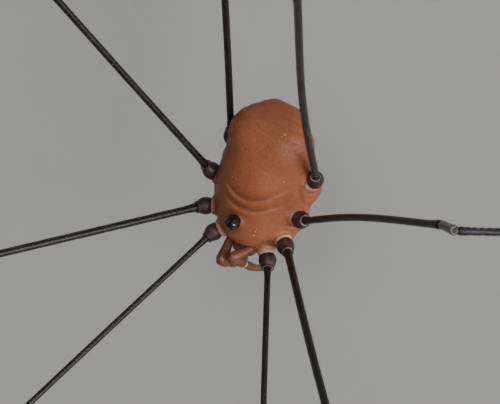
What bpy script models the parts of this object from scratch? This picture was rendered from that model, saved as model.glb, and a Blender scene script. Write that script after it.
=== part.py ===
"""A male harvestman, life size, standing still on the floor on its eight legs.

The animal faces -Y, its left side is +X and the floor is z = 0. Sizes are in millimetres
and become metres where a mesh is made. Places on the body are measured from the body's
middle, which is BODY_HEIGHT over the floor.
"""

import math

import bmesh
import bpy
from mathutils import Matrix, Vector

MM = 0.001

# Gaps between pieces that meet: between large ones, and between the small ones of the head
GAP = 0.3
HEAD_GAP = 0.1

# Body
BODY_HEIGHT = 9.0
BODY_SIDES = 20
CARAPACE_FRONT = -1.25
CARAPACE_BACK = 0.1
ABDOMEN_BACK = 2.77
ABDOMEN_MIDDLE = 1.36
ABDOMEN_HALF_WIDTH = 1.18
ABDOMEN_HALF_HEIGHT = 0.88
ABDOMEN_MIDDLE_HEIGHT = 0.27
ABDOMEN_SQUARENESS = 2.15
SEGMENT_GROOVE = 0.035
SEGMENT_BORDERS = (1.62, 1.92, 2.2, 2.44, 2.62)
GROOVE_HALF_WIDTH = 0.07
STERNUM_STATIONS = ((-0.95, 0.15), (-0.7, 0.38), (-0.2, 0.48), (0.4, 0.46), (0.8, 0.36), (1.0, 0.2))
STERNUM_FULL_WIDTH = 0.48
STERNUM_MIDDLE_HEIGHT = -0.5
STERNUM_HALF_HEIGHT = 0.2

# Ocularium, the knob that carries both eyes
OCULARIUM_PLACE = (0.0, -0.45, 0.9)
OCULARIUM_HALF_WIDTH = 0.13
OCULARIUM_HALF_LENGTH = 0.2
OCULARIUM_HEIGHT = 0.32
EYE_RADIUS = 0.11
EYE_BULGE = 0.1
EYE_GAP = 0.05

# Legs: thickness of every piece but the last, and how it narrows at a joint
LEG_RADIUS = 0.25
LEG_SIDES = 8
JOINT_RADIUS = 0.18
JOINT_TAPER = 0.12
PATELLA_RADIUS = 0.28
TARSUS_START_RADIUS = 0.23
TARSUS_TIP_RADIUS = 0.1
COXA_RADIUS = 0.3
COXA_END_RADIUS = 0.24
TROCHANTER_RADIUS = 0.28
TROCHANTER_BACK = 0.15
TROCHANTER_LENGTH = 0.5
FLOOR_TOUCH_SHARE = 0.55
SIDES = {"left": 1, "right": -1}

# Where each leg's trochanter and the inner end of its coxa lie, on the left side
TROCHANTERS = ((0.88, -1.29, 0.05), (1.25, -0.69, 0.13), (1.38, 0.19, 0.17), (1.35, 1.21, -0.03))
COXA_ROOTS = ((0.3, -0.7, -0.28), (0.35, -0.4, -0.32), (0.38, 0.0, -0.36), (0.4, 0.36, -0.42))

# Lengths of femur, patella, tibia, metatarsus and tarsus of each pair of legs
SEGMENT_LENGTHS = (
    (8.0, 1.1, 7.5, 8.0, 10.0),
    (13.5, 1.4, 12.5, 9.5, 17.0),
    (8.0, 1.1, 7.3, 9.0, 10.5),
    (11.0, 1.2, 9.3, 13.0, 13.5),
)

# Degrees by which each femur points out from straight ahead, and by which it rises
FEMUR_AIMS = {
    "left": ((46, 43), (76, 49), (123, 40), (165, 55)),
    "right": ((16, 44), (56, 53), (138, 42), (180, 35)),
}

# Degrees by which each patella rises, by which the leg turns on past it, and by which the tibia falls
PATELLA_RISES = {"left": (12, 10, 43, 12), "right": (10, 12, 8, 4)}
KNEE_TURNS = {"left": (6, 4, -18, -9), "right": (14, 8, -10, -22)}
TIBIA_FALLS = {"left": (50, 54, 42, 52), "right": (50, 54, 50, 46)}
TARSUS_START_HEIGHT = 1.1
TARSUS_TURNS = {"left": (16, -14, 12, 15), "right": (-14, 18, -16, 12)}

# Pedipalps and chelicerae, on the left side
PALP_RADIUS = 0.21
PALP_TIP_RADIUS = 0.1
PALP_SIDES = 8
PALP_JOINTS = {
    "left": ((0.42, -1.3, -0.12), (0.3, -1.75, 0.42), (0.44, -2.0, 0.0), (0.62, -1.95, -0.75)),
    "right": ((-0.42, -1.3, -0.12), (-0.46, -1.85, 0.3), (-0.34, -2.05, -0.15), (-0.3, -1.85, -0.9)),
}
CHELICERA_PLACE = (0.15, -1.42, -0.28)
CHELICERA_HALF_WIDTH = 0.1
CHELICERA_HALF_DEPTH = 0.15
CHELICERA_LENGTH = 0.55

COLOURS = {
    "cuticle": ((0.26, 0.085, 0.045), 0.5),
    "mouthparts": ((0.17, 0.055, 0.03), 0.45),
    "ocularium": ((0.012, 0.01, 0.01), 0.25),
    "eye": ((0.004, 0.004, 0.005), 0.08),
    "leg_dark": ((0.03, 0.024, 0.022), 0.4),
    "leg_joint": ((0.3, 0.24, 0.2), 0.5),
    "leg_slate": ((0.045, 0.045, 0.055), 0.4),
}


def clear_scene():
    for thing in list(bpy.data.objects):
        bpy.data.objects.remove(thing, do_unlink=True)


def make_materials():
    materials = {}
    for name, (colour, roughness) in COLOURS.items():
        material = bpy.data.materials.new(name)
        material.use_nodes = True
        shader = material.node_tree.nodes["Principled BSDF"]
        shader.inputs["Base Color"].default_value = (*colour, 1.0)
        shader.inputs["Roughness"].default_value = roughness
        shader.inputs["Metallic"].default_value = 0.0
        materials[name] = material
    return materials


def loft(rings):
    """Closed mesh in millimetres through equal rings of points, with a flat fan over each end."""
    mesh = bmesh.new()
    rows = [[mesh.verts.new(point) for point in ring] for ring in rings]
    count = len(rows[0])
    for near, far in zip(rows, rows[1:]):
        for i in range(count):
            j = (i + 1) % count
            mesh.faces.new((near[i], near[j], far[j], far[i]))
    for row, reverse in ((rows[0], True), (rows[-1], False)):
        middle = mesh.verts.new(sum((v.co for v in row), Vector()) / count)
        for i in range(count):
            j = (i + 1) % count
            fan = (row[j], row[i], middle) if reverse else (row[i], row[j], middle)
            mesh.faces.new(fan)
    bmesh.ops.recalc_face_normals(mesh, faces=mesh.faces)
    return mesh


def add_object(name, mesh, material=None, parent=None):
    """Object from a millimetre bmesh, whose mesh is in metres."""
    bmesh.ops.transform(mesh, matrix=Matrix.Scale(MM, 4), verts=mesh.verts)
    data = bpy.data.meshes.new(name)
    mesh.to_mesh(data)
    mesh.free()
    if material:
        data.materials.append(material)
    data.shade_smooth()
    data.set_sharp_from_angle(angle=math.radians(50))
    thing = bpy.data.objects.new(name, data)
    bpy.context.scene.collection.objects.link(thing)
    if parent:
        thing.parent = parent
    return thing


def cross_ring(centre, across, upward, half_width, half_height, sides):
    """Ring of points round a centre, with a flat side downward."""
    points = []
    for i in range(sides):
        angle = 2 * math.pi * (i + 0.5) / sides
        out = across * (half_width * math.cos(angle)) + upward * (half_height * math.sin(angle))
        points.append(centre + out)
    return points


def tube(path, radii, sides, across):
    """Tube along a path; across is the direction that stays level in every ring."""
    rings = []
    for i, point in enumerate(path):
        before = path[max(i - 1, 0)]
        after = path[min(i + 1, len(path) - 1)]
        along = (after - before).normalized()
        level = (across - along * across.dot(along)).normalized()
        upward = level.cross(along).normalized()
        if upward.z < 0:
            upward.negate()
        rings.append(cross_ring(point, level, upward, radii[i], radii[i], sides))
    return loft(rings)


def join_pieces(pieces, cutters=()):
    """One closed surface from several bmeshes: their union, less the union of the cutters."""
    pieces_set = bpy.data.collections.new("pieces")
    objects = []
    for i, piece in enumerate(pieces[1:]):
        objects.append(plain_object("piece_%d" % i, piece))
        pieces_set.objects.link(objects[-1])
    base = plain_object("base", pieces[0])
    if objects:
        apply_boolean(base, "UNION", pieces_set)
    cutters_set = bpy.data.collections.new("cutters")
    cutter_objects = []
    for i, cutter in enumerate(cutters):
        cutter_objects.append(plain_object("cutter_%d" % i, cutter))
        cutters_set.objects.link(cutter_objects[-1])
    if cutter_objects:
        apply_boolean(base, "DIFFERENCE", cutters_set)
    result = bmesh.new()
    result.from_mesh(base.data)
    keep_largest(result)
    for thing in objects + cutter_objects + [base]:
        bpy.data.objects.remove(thing, do_unlink=True)
    bpy.data.collections.remove(pieces_set)
    bpy.data.collections.remove(cutters_set)
    return result


def plain_object(name, mesh):
    """Object in millimetres, for a Boolean only."""
    bmesh.ops.triangulate(mesh, faces=mesh.faces)
    data = bpy.data.meshes.new(name)
    mesh.to_mesh(data)
    mesh.free()
    thing = bpy.data.objects.new(name, data)
    bpy.context.scene.collection.objects.link(thing)
    return thing


def apply_boolean(base, operation, collection):
    modifier = base.modifiers.new("boolean", "BOOLEAN")
    modifier.operation = operation
    modifier.solver = "EXACT"
    modifier.operand_type = "COLLECTION"
    modifier.collection = collection
    modifier.use_self = True
    shape = base.evaluated_get(bpy.context.evaluated_depsgraph_get())
    joined = bpy.data.meshes.new_from_object(shape)
    base.modifiers.clear()
    base.data = joined


def keep_largest(mesh):
    """Drop every closed surface but the one with the most volume."""
    left = set(mesh.faces)
    shells = []
    while left:
        shell = set()
        waiting = [left.pop()]
        while waiting:
            face = waiting.pop()
            shell.add(face)
            for edge in face.edges:
                for other in edge.link_faces:
                    if other in left:
                        left.remove(other)
                        waiting.append(other)
        shells.append(shell)
    sizes = [sum(face.calc_area() for face in shell) for shell in shells]
    best = sizes.index(max(sizes))
    for i, shell in enumerate(shells):
        if i != best:
            bmesh.ops.delete(mesh, geom=list(shell), context="FACES")
    bmesh.ops.delete(mesh, geom=[v for v in mesh.verts if not v.link_faces], context="VERTS")


def body_ring(y, half_width, middle, half_height, squareness):
    """Upright cross-section of the body at y: a slightly square ellipse."""
    points = []
    for i in range(BODY_SIDES):
        angle = 2 * math.pi * (i + 0.5) / BODY_SIDES
        cosine = math.cos(angle)
        sine = math.sin(angle)
        x = half_width * math.copysign(abs(cosine) ** (2 / squareness), cosine)
        z = half_height * math.copysign(abs(sine) ** (2 / squareness), sine)
        points.append(Vector((x, y, middle + z)))
    return points


def trochanter_of(side, pair):
    x, y, z = TROCHANTERS[pair]
    return Vector((x * SIDES[side], y, z))


def coxa_direction(side, pair):
    x, y, z = COXA_ROOTS[pair]
    root = Vector((x * SIDES[side], y, z))
    return root, (trochanter_of(side, pair) - root).normalized()


def heading(side, degrees):
    """Level direction that many degrees out from straight ahead."""
    angle = math.radians(degrees)
    return Vector((SIDES[side] * math.sin(angle), -math.cos(angle), 0.0))


def slanted(level, rise):
    """The level direction, tipped up by that many degrees."""
    angle = math.radians(rise)
    return level * math.cos(angle) + Vector((0.0, 0.0, math.sin(angle)))


def femur_direction(side, pair):
    aim, rise = FEMUR_AIMS[side][pair]
    return slanted(heading(side, aim), rise)


def coxa(side, pair, extra=0.0, reach=0.0):
    """Coxa as a tube that swells in the middle, wider by extra and longer by reach."""
    root, along = coxa_direction(side, pair)
    end = trochanter_of(side, pair) - along * (TROCHANTER_BACK + GAP)
    length = (end - root).length
    stations = ((0.0, COXA_RADIUS), (0.35, COXA_RADIUS * 1.1), (0.7, COXA_RADIUS * 1.05), (1.0, COXA_END_RADIUS))
    path = [root + along * (length * share) for share, _ in stations]
    path[-1] = end + along * reach
    radii = [radius + extra for _, radius in stations]
    return tube(path, radii, 12, along.cross(Vector((0, 0, 1))))


def leg_start_cutter(side, pair):
    """Room round a trochanter and the first stretch of its femur."""
    centre = trochanter_of(side, pair)
    along = femur_direction(side, pair)
    back = coxa_direction(side, pair)[1]
    path = [centre - back * (TROCHANTER_BACK + GAP), centre, centre + along * 0.9, centre + along * 2.6]
    wide = TROCHANTER_RADIUS + GAP
    narrow = LEG_RADIUS + GAP
    return tube(path, [narrow, wide, narrow, narrow], 12, along.cross(Vector((0, 0, 1))))


def sternum(extra=0.0):
    """Plate between the coxae and under the front of the abdomen, thicker all round by extra."""
    rings = []
    for y, half_width in STERNUM_STATIONS:
        centre = Vector((0.0, y, STERNUM_MIDDLE_HEIGHT))
        half_height = STERNUM_HALF_HEIGHT * min(1.0, half_width / STERNUM_FULL_WIDTH + 0.4)
        ring = cross_ring(centre, Vector((1, 0, 0)), Vector((0, 0, 1)), half_width + extra, half_height + extra, 14)
        rings.append(ring)
    for point in rings[-1]:
        point.y += extra
    return loft(rings)


def make_prosoma():
    """Carapace with the eight coxae that grow from it."""
    stations = (
        (CARAPACE_FRONT, 0.24, 0.12, 0.24),
        (-1.12, 0.48, 0.1, 0.4),
        (-0.9, 0.66, 0.1, 0.55),
        (-0.6, 0.8, 0.12, 0.66),
        (-0.25, 0.93, 0.14, 0.69),
        (-0.06, 0.96, 0.15, 0.66),
        (CARAPACE_BACK, 1.0, 0.16, 0.7),
    )
    shell = loft([body_ring(*station, ABDOMEN_SQUARENESS) for station in stations])
    legs = [coxa(side, pair) for side in SIDES for pair in range(4)]
    return join_pieces([shell, sternum()] + legs)


def abdomen_radius(y):
    """Share of the abdomen's full cross-section at y."""
    half_length = ABDOMEN_BACK - ABDOMEN_MIDDLE
    share = min(abs(y - ABDOMEN_MIDDLE) / half_length, 1.0)
    return (1 - share ** ABDOMEN_SQUARENESS) ** (1 / ABDOMEN_SQUARENESS)


def abdomen_block():
    """The abdomen before room for the legs is cut from it."""
    ys = [CARAPACE_BACK + GAP, 0.65, 0.95, 1.3]
    for groove in SEGMENT_BORDERS:
        ys += [groove - GROOVE_HALF_WIDTH, groove, groove + GROOVE_HALF_WIDTH]
    ys += [ABDOMEN_BACK - 0.05, ABDOMEN_BACK - 0.01]
    rings = []
    for y in ys:
        size = abdomen_radius(y)
        dip = SEGMENT_GROOVE if y in SEGMENT_BORDERS else 0.0
        width = ABDOMEN_HALF_WIDTH * size - dip
        height = ABDOMEN_HALF_HEIGHT * size - dip
        rings.append(body_ring(y, width, ABDOMEN_MIDDLE_HEIGHT, height, ABDOMEN_SQUARENESS))
    return loft(rings)


def make_abdomen():
    """Abdomen with its segments, hollowed beside the hind legs so that they stand clear."""
    cutters = [sternum(extra=GAP)]
    cutters += [coxa(side, pair, extra=GAP, reach=GAP) for side in SIDES for pair in (2, 3)]
    cutters += [leg_start_cutter(side, 3) for side in SIDES]
    return join_pieces([abdomen_block()], cutters)


def make_ocularium():
    """Round-topped knob with a flat foot."""
    x, y, foot = OCULARIUM_PLACE
    profile = ((0.0, 0.9), (0.25, 1.0), (0.55, 0.98), (0.8, 0.8), (0.95, 0.45), (1.0, 0.15))
    rings = []
    for rise, size in profile:
        centre = Vector((x, y, foot + rise * OCULARIUM_HEIGHT))
        across = Vector((OCULARIUM_HALF_WIDTH * size, 0, 0))
        along = Vector((0, OCULARIUM_HALF_LENGTH * size, 0))
        rings.append(cross_ring(centre, across, along, 1.0, 1.0, 14))
    return loft(rings)


def make_eye(side):
    """Dome that looks sideways out of the knob."""
    x, y, foot = OCULARIUM_PLACE
    start = OCULARIUM_HALF_WIDTH + EYE_GAP
    centre = Vector((x, y - 0.02, foot + 0.52 * OCULARIUM_HEIGHT))
    rings = []
    for share in (0.0, 0.35, 0.65, 0.85, 0.97):
        size = EYE_RADIUS * math.sqrt(1 - share * share)
        place = centre + Vector((SIDES[side] * (start + EYE_BULGE * share), 0, 0))
        rings.append(cross_ring(place, Vector((0, 1, 0)), Vector((0, 0, 1)), size, size, 12))
    return loft(rings)


def make_chelicera(side):
    """Upright mouthpart between the pedipalps, narrowed to its claw."""
    x, y, z = CHELICERA_PLACE
    profile = ((0.0, 0.7), (0.15, 1.0), (0.6, 0.95), (0.85, 0.65), (1.0, 0.35))
    rings = []
    for share, size in profile:
        centre = Vector((SIDES[side] * x, y - 0.12 * share, z - share * CHELICERA_LENGTH))
        width = CHELICERA_HALF_WIDTH * size
        depth = CHELICERA_HALF_DEPTH * size
        rings.append(cross_ring(centre, Vector((1, 0, 0)), Vector((0, 1, 0)), width, depth, 10))
    return loft(rings)


def straight_piece(start, end, start_radius, end_radius, sides, across, taper):
    """Tube between two joints, its ends narrowed a little over the taper's length."""
    along = (end - start).normalized()
    length = (end - start).length
    shares = (0.0, taper / length, 0.5, 1 - taper / length, 1.0)
    path = [start + along * (length * share) for share in shares]
    radii = [start_radius + (end_radius - start_radius) * share for share in shares]
    radii[0] *= 0.75
    radii[-1] *= 0.75
    return tube(path, radii, sides, across)


def make_palp(side):
    """Femur, tibia and tarsus of a folded pedipalp."""
    joints = [Vector(place) for place in PALP_JOINTS[side]]
    radii = (PALP_RADIUS, PALP_RADIUS, PALP_RADIUS * 0.9, PALP_TIP_RADIUS)
    pieces = {}
    for i, name in enumerate(("femur", "tibia", "tarsus")):
        along = (joints[i + 1] - joints[i]).normalized()
        start = joints[i] + along * (HEAD_GAP / 2 if i else 0.0)
        end = joints[i + 1] - along * (HEAD_GAP / 2)
        pieces[name] = straight_piece(start, end, radii[i], radii[i + 1], PALP_SIDES, Vector((1, 0, 0)), JOINT_TAPER)
    return pieces


def leg_joints(side, pair):
    """Where a leg's joints lie, from the trochanter to the start of the tarsus."""
    femur, patella, tibia, metatarsus, _ = SEGMENT_LENGTHS[pair]
    aim = FEMUR_AIMS[side][pair][0]
    turn = KNEE_TURNS[side][pair]
    level = heading(side, aim + turn)
    joints = [trochanter_of(side, pair)]
    joints.append(joints[-1] + femur_direction(side, pair) * femur)
    joints.append(joints[-1] + slanted(heading(side, aim + turn / 3), PATELLA_RISES[side][pair]) * patella)
    joints.append(joints[-1] + slanted(level, -TIBIA_FALLS[side][pair]) * tibia)
    drop = joints[-1].z + BODY_HEIGHT - TARSUS_START_HEIGHT
    fall = math.degrees(math.asin(min(drop / metatarsus, 0.98)))
    joints.append(joints[-1] + slanted(level, -fall) * metatarsus)
    return joints, level, fall


def make_femur(side, pair):
    """Trochanter bulb, the narrow ring above it, and the femur, in one piece."""
    joints = leg_joints(side, pair)[0]
    back = coxa_direction(side, pair)[1]
    along = femur_direction(side, pair)
    centre = joints[0]
    end = joints[1] - along * (GAP / 2)
    neck = TROCHANTER_LENGTH - TROCHANTER_BACK
    path = [centre - back * TROCHANTER_BACK, centre - back * 0.06, centre + (along + back) * 0.02]
    path += [centre + along * (neck * 0.55), centre + along * neck, centre + along * (neck + 0.15)]
    path += [centre.lerp(end, 0.5), end - along * JOINT_TAPER, end]
    bulb = TROCHANTER_RADIUS
    radii = [bulb * 0.75, bulb * 0.95, bulb, bulb * 0.97, JOINT_RADIUS, LEG_RADIUS]
    radii += [LEG_RADIUS, LEG_RADIUS, JOINT_RADIUS]
    return tube(path, radii, LEG_SIDES, along.cross(Vector((0, 0, 1))))


def make_tarsus(side, pair, start, level, fall):
    """Last piece of a leg: it comes down steeply, then lies along the floor on a flat strip."""
    length = SEGMENT_LENGTHS[pair][4]
    steps = 14
    floor = -BODY_HEIGHT
    flat_share = math.cos(math.pi / LEG_SIDES)
    turn = TARSUS_TURNS[side][pair]
    place = start.copy()
    path = []
    radii = []
    for i in range(steps + 1):
        share = i / steps
        radius = TARSUS_START_RADIUS + (TARSUS_TIP_RADIUS - TARSUS_START_RADIUS) * share
        lowest = floor + radius * flat_share
        spot = place.copy()
        spot.z = max(spot.z, lowest)
        if share > 1 - FLOOR_TOUCH_SHARE:
            spot.z = lowest
        path.append(spot)
        radii.append(radius)
        settle = min(share / (1 - FLOOR_TOUCH_SHARE), 1.0)
        slope = fall * (1 - settle) ** 3.0
        turned = Matrix.Rotation(math.radians(turn * share), 3, "Z") @ level
        place = place + slanted(turned, -slope) * (length / steps)
    radii[0] = JOINT_RADIUS
    return tube(path, radii, LEG_SIDES, level.cross(Vector((0, 0, 1))))


def make_leg(side, pair):
    """The five pieces of one leg, by name."""
    joints, level, fall = leg_joints(side, pair)
    across = level.cross(Vector((0, 0, 1)))
    pieces = {"femur": make_femur(side, pair)}
    names = ("patella", "tibia", "metatarsus")
    radii = (PATELLA_RADIUS, LEG_RADIUS, LEG_RADIUS)
    for name, radius, start, end in zip(names, radii, joints[1:], joints[2:]):
        along = (end - start).normalized()
        near = start + along * (GAP / 2)
        far = end - along * (GAP / 2)
        pieces[name] = straight_piece(near, far, radius, radius, LEG_SIDES, across, JOINT_TAPER)
    start = joints[-1] + slanted(level, -fall) * (GAP / 2)
    pieces["tarsus"] = make_tarsus(side, pair, start, level, fall)
    return pieces


def build():
    clear_scene()
    materials = make_materials()
    body = bpy.data.objects.new("body_middle", None)
    bpy.context.scene.collection.objects.link(body)
    add_object("prosoma", make_prosoma(), materials["cuticle"], body)
    add_object("abdomen", make_abdomen(), materials["cuticle"], body)
    add_object("ocularium", make_ocularium(), materials["ocularium"], body)
    leg_slots = {
        "femur": "leg_dark", "patella": "leg_joint", "tibia": "leg_slate",
        "metatarsus": "leg_slate", "tarsus": "leg_slate",
    }
    for side in SIDES:
        add_object("eye_" + side, make_eye(side), materials["eye"], body)
        add_object("chelicera_" + side, make_chelicera(side), materials["mouthparts"], body)
        for name, piece in make_palp(side).items():
            add_object("palp_%s_%s" % (side, name), piece, materials["mouthparts"], body)
        for pair in range(4):
            for name, piece in make_leg(side, pair).items():
                title = "leg_%s_%d_%s" % (side, pair + 1, name)
                add_object(title, piece, materials[leg_slots[name]], body)
    place_on_floor(body)


def place_on_floor(body):
    """Stand the animal on the floor with the middle of its outer box over the origin."""
    corners = [vertex.co for thing in body.children for vertex in thing.data.vertices]
    middle_x = (min(c.x for c in corners) + max(c.x for c in corners)) / 2
    middle_y = (min(c.y for c in corners) + max(c.y for c in corners)) / 2
    body.location = (-middle_x, -middle_y, BODY_HEIGHT * MM)


build()
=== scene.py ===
"""The looks of a life-size harvestman that stands still on its eight legs.

Places on the animal are in millimetres from the middle of its body, with the animal facing
-Y and its left side at +X. They become metres in the frame of the solids when a mesh is made.
"""

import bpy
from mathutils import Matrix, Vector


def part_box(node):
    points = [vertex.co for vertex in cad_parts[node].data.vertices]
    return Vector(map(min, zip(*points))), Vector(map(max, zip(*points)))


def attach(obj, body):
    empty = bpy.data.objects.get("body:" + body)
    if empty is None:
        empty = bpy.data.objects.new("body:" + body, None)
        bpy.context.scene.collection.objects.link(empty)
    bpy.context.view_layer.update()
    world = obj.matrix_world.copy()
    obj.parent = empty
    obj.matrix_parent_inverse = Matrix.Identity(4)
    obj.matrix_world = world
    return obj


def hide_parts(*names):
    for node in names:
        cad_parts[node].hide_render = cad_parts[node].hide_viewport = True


bl_info = {
    "name": "Harvestman",
    "version": (1, 0, 0),
    "blender": (4, 5, 0),
    "location": "3D Viewport > Sidebar > Harvestman",
    "description": "Builds the skin, eyes, legs and stage of a harvestman around its solids",
    "category": "Object",
}

import math

import bmesh
import bpy
import numpy as np
from bpy.props import FloatProperty, FloatVectorProperty, IntProperty, PointerProperty
from mathutils import Matrix, Vector

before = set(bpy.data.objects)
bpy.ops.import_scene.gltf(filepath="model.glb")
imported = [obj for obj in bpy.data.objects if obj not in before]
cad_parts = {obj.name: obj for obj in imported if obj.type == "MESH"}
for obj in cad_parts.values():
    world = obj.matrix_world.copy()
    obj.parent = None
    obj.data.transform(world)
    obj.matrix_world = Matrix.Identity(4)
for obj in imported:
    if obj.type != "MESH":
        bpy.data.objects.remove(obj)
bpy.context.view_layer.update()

MM = 0.001
BODY = "root"
SIDES = {"left": 1, "right": -1}
PAIRS = (0, 1, 2, 3)
UP = np.array((0.0, 0.0, 1.0))
STEEP = 0.9
TINY = 1e-9
# Degrees between two faces up to which a piece is shaded smooth
LIMB_SMOOTH_ANGLE = 70
KNOB_SMOOTH_ANGLE = 80
LENS_SMOOTH_ANGLE = 50

# The knob's solid stands at this place over the middle of the body, which gives that middle
KNOB_FOOT = (0.0, -0.45, 0.9)

# Abdomen, waist and carapace: middle and half sizes; a squareness of 2 is a plain ellipsoid
ABDOMEN_MIDDLE = (0.0, 1.16, 0.285)
ABDOMEN_HALF_SIZE = (1.1, 1.42, 0.86)
ABDOMEN_SQUARENESS = 2.1
# Swellings across the abdomen's back and its tip: left end, radius, and width of the blend
ABDOMEN_SWELLINGS = (((0.44, 1.8, 0.4), 0.7, 0.25), ((0.28, 2.37, 0.13), 0.35, 0.3))
WAIST_MIDDLE = (0.0, 0.35, 0.02)
WAIST_HALF_SIZE = (1.12, 0.95, 0.84)
CARAPACE_MIDDLE = (0.0, -0.08, 0.1)
CARAPACE_HALF_SIZE = (1.0, 1.12, 0.72)
WAIST_BLEND = 0.3
ABDOMEN_BLEND = 0.35

# Borders of the abdomen's segments: where they cross the middle, how they lean with height, the stretch
# over which they come in, and the waves across each: place, width and height as a share of the depth
SEGMENT_BORDERS = (2.05, 2.3, 2.5, 2.64)
SEGMENT_LEAN = 0.12
SEGMENT_FADE = (1.6, 2.4)
SEGMENT_WAVES = ((0.0, 0.04, 1.0), (-0.1, 0.07, -0.6))

# The two crescent folds across the back: where each crosses the middle, how it bends,
# and how far it runs to the right and to the left
FOLDS = ((0.265, 0.62, 0.62, 1.02), (-0.03, 0.5, 0.58, 1.1))
FOLD_FADE = (0.25, 1.15)
FOLD_WAVES = ((0.0, 0.05, 1.0), (-0.105, 0.07, -0.75), (0.1, 0.09, 0.55))
BACK_HEIGHTS = (0.2, 0.5)
# The crease down each flank, beside the coxa of the hind leg
FLANK_CREASE = ((1.15, 1.12, 0.42), (1.15, 0.86, 0.28), (1.24, 0.62, 0.16), (1.27, 0.46, 0.1))
CREASE_WAVES = ((0.0, 0.05, 0.6), (0.11, 0.06, -0.4))
CREASE_ENDS = (0.02, 0.98)

# Granules that stand out in the photo: place and radius
GRANULES = (
    (0.54, -0.54, 0.67, 0.02), (0.52, -0.67, 0.64, 0.024), (0.55, -0.45, 0.69, 0.016),
    (0.87, 1.07, 0.81, 0.02), (1.2, -0.2, 0.05, 0.02), (0.515, 2.18, 0.88, 0.02),
    (0.47, 2.1, 0.92, 0.016), (-0.9, 1.35, 0.75, 0.016),
)
# Smaller granules in loose rows: where the rows cross the middle, how far they run and how they bend,
# the step and the scatter in a row, the least and greatest radius, and the share of places taken
GRANULE_SEED = 77
GRANULE_ROWS = (0.72, 1.0, 1.28, 1.55, 1.82, 2.06, 2.28)
GRANULE_ROW_ENDS = (-0.95, 1.0)
GRANULE_ROW_BEND = 0.12
GRANULE_START_HEIGHT = 1.0
GRANULE_STEP = 0.14
GRANULE_SCATTER = 0.05
GRANULE_RADII = (0.007, 0.014)
GRANULES_KEPT = 0.5
GRANULE_SHAPE = (1.0, 0.8, 0.5)

# Trochanter and inner end of the coxa of each leg, on the left side
TROCHANTERS = ((0.88, -1.29, 0.05), (1.25, -0.69, 0.13), (1.38, 0.19, 0.17), (1.35, 1.21, -0.03))
# The photographed animal isn't quite even: how far each trochanter lies from that place
TROCHANTER_SHIFTS = {
    "left": ((0.0, 0.0, 0.0), (0.0, 0.0, 0.0), (0.04, -0.055, 0.0), (0.0, 0.0, 0.0)),
    "right": ((0.041, 0.015, -0.022), (0.0, 0.0, 0.0), (-0.016, 0.035, -0.006), (0.07, 0.03, -0.04)),
}
COXA_ROOTS = ((0.3, -0.7, -0.28), (0.35, -0.4, -0.32), (0.38, 0.0, -0.36), (0.4, 0.36, -0.42))
COXA_INNER_RADII = (0.3, 0.34, 0.38, 0.44)
COXA_OUTER_RADII = (0.25, 0.35, 0.4, 0.43)
COXA_DROPS = (0.03, 0.12, 0.16, 0.13)
COXA_END_SHARE = 0.85
# Widths of the blend of each coxa with the body
COXA_BLENDS = (0.17, 0.17, 0.2, 0.36)
# Swellings of the third and the fourth coxa, in front of and below the leg's seat: middle and radius
COXA_BELLIES = {2: ((0.98, -0.12, -0.28), 0.37), 3: ((1.05, 0.76, -0.3), 0.36)}
BELLY_BLEND = 0.15
# Seat of the trochanter: how far its two ends stand back from the coxa's end, and its radii there
SEAT = (0.3, 0.16, 0.26, 0.2)
ROUGH_SEAT = (0.3, 0.1, 0.26, 0.22)
SEAT_BLEND = 0.1
# Lip round the seat: how far the coxa ends before the trochanter, and the lip's place, radius and thickness
LIP_SETBACK = 0.15
LIP_BACK = 0.02
SEAT_RADIUS = 0.2
LIP_THICKNESS = 0.045
LIP_BLEND = 0.07
# Groove behind the lip: depth, place and width out from the seat, place and width along the coxa
LIP_GROOVE = (0.018, 0.1, 0.03, -0.06, 0.12)
# How far the pale skin reaches from the middle of each trochanter, and how it fades there
PALE_REACHES = (0.37, 0.31, 0.24, 0.26)
PALE_FADE = (0.72, 1.1)
# Painted shade, a deeper red, in the folds, along the segments' borders (with the width there) and round the
# knob's foot
FOLD_SHADE = 1.2
BORDER_SHADE = (0.2, 0.05)
KNOB_FOOT_SHADE = 0.9
KNOB_FOOT_SHADE_SINK = 0.08
KNOB_FOOT_SHADE_REACH = (0.17, 0.34)
KNOB_FOOT_SHADE_STRETCH = (1, 1.2, 1)
# Where the painted shade of the flanks comes in, to the side and to the rear, and where that of the rear does
FLANK_SHADE_RANGES = ((0.4, 1.0), (0.2, 0.9))
REAR_SHADE_RANGE = (1.7, 2.6)

# Making of the skin: balls along each stretch of the rough shape, longest move, least slope, and the
# step from which the slope is taken
BALLS_PER_STRETCH = 9
LONGEST_MOVE = 0.12
LEAST_STEEPNESS = 0.1
SLOPE_STEP = 0.004
# Smoothing of the skin: rounds, weight everywhere, and weight added on the pale skin
SMOOTH_ROUNDS = 5
SMOOTH_WEIGHT = 0.15
SMOOTH_PALE_WEIGHT = 0.45
# Waves of the skin's noise: how many, how their spacing varies, and what brings their sum to about 1
NOISE_WAVES = 7
NOISE_SPREAD = (0.8, 1.25)
NOISE_SIZE = 2.6
# Fine grain: share, spacing, seed and stretch of each layer; then the broad unevenness
GRAIN_LAYERS = ((0.7, 0.075, 3, (1.0, 1.0, 1.0)), (0.4, 0.07, 5, (0.5, 1.0, 0.7)))
PALE_SMOOTHNESS = 0.7
SWELL_SPACING = 0.7
SWELL_SEED = 11
SWELL_HEIGHT = 0.004

# Lengths of femur, patella, tibia, metatarsus and tarsus of each pair of legs
SEGMENT_LENGTHS = (
    (8.0, 1.1, 7.5, 8.0, 10.0),
    (13.5, 1.4, 12.5, 9.5, 17.0),
    (8.0, 1.1, 7.3, 9.0, 10.5),
    (11.0, 1.2, 9.3, 13.0, 13.5),
)

# Degrees by which each femur points out from straight ahead, and by which it rises
FEMUR_AIMS = {
    "left": ((47, 43), (76, 49), (122.8, 41.7), (164.8, 54.3)),
    "right": ((14.7, 44), (55.7, 53), (138.6, 42), (177.7, 35)),
}
FEMUR_THICKNESS = (0.9, 1.12, 1.03, 1.03)

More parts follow.
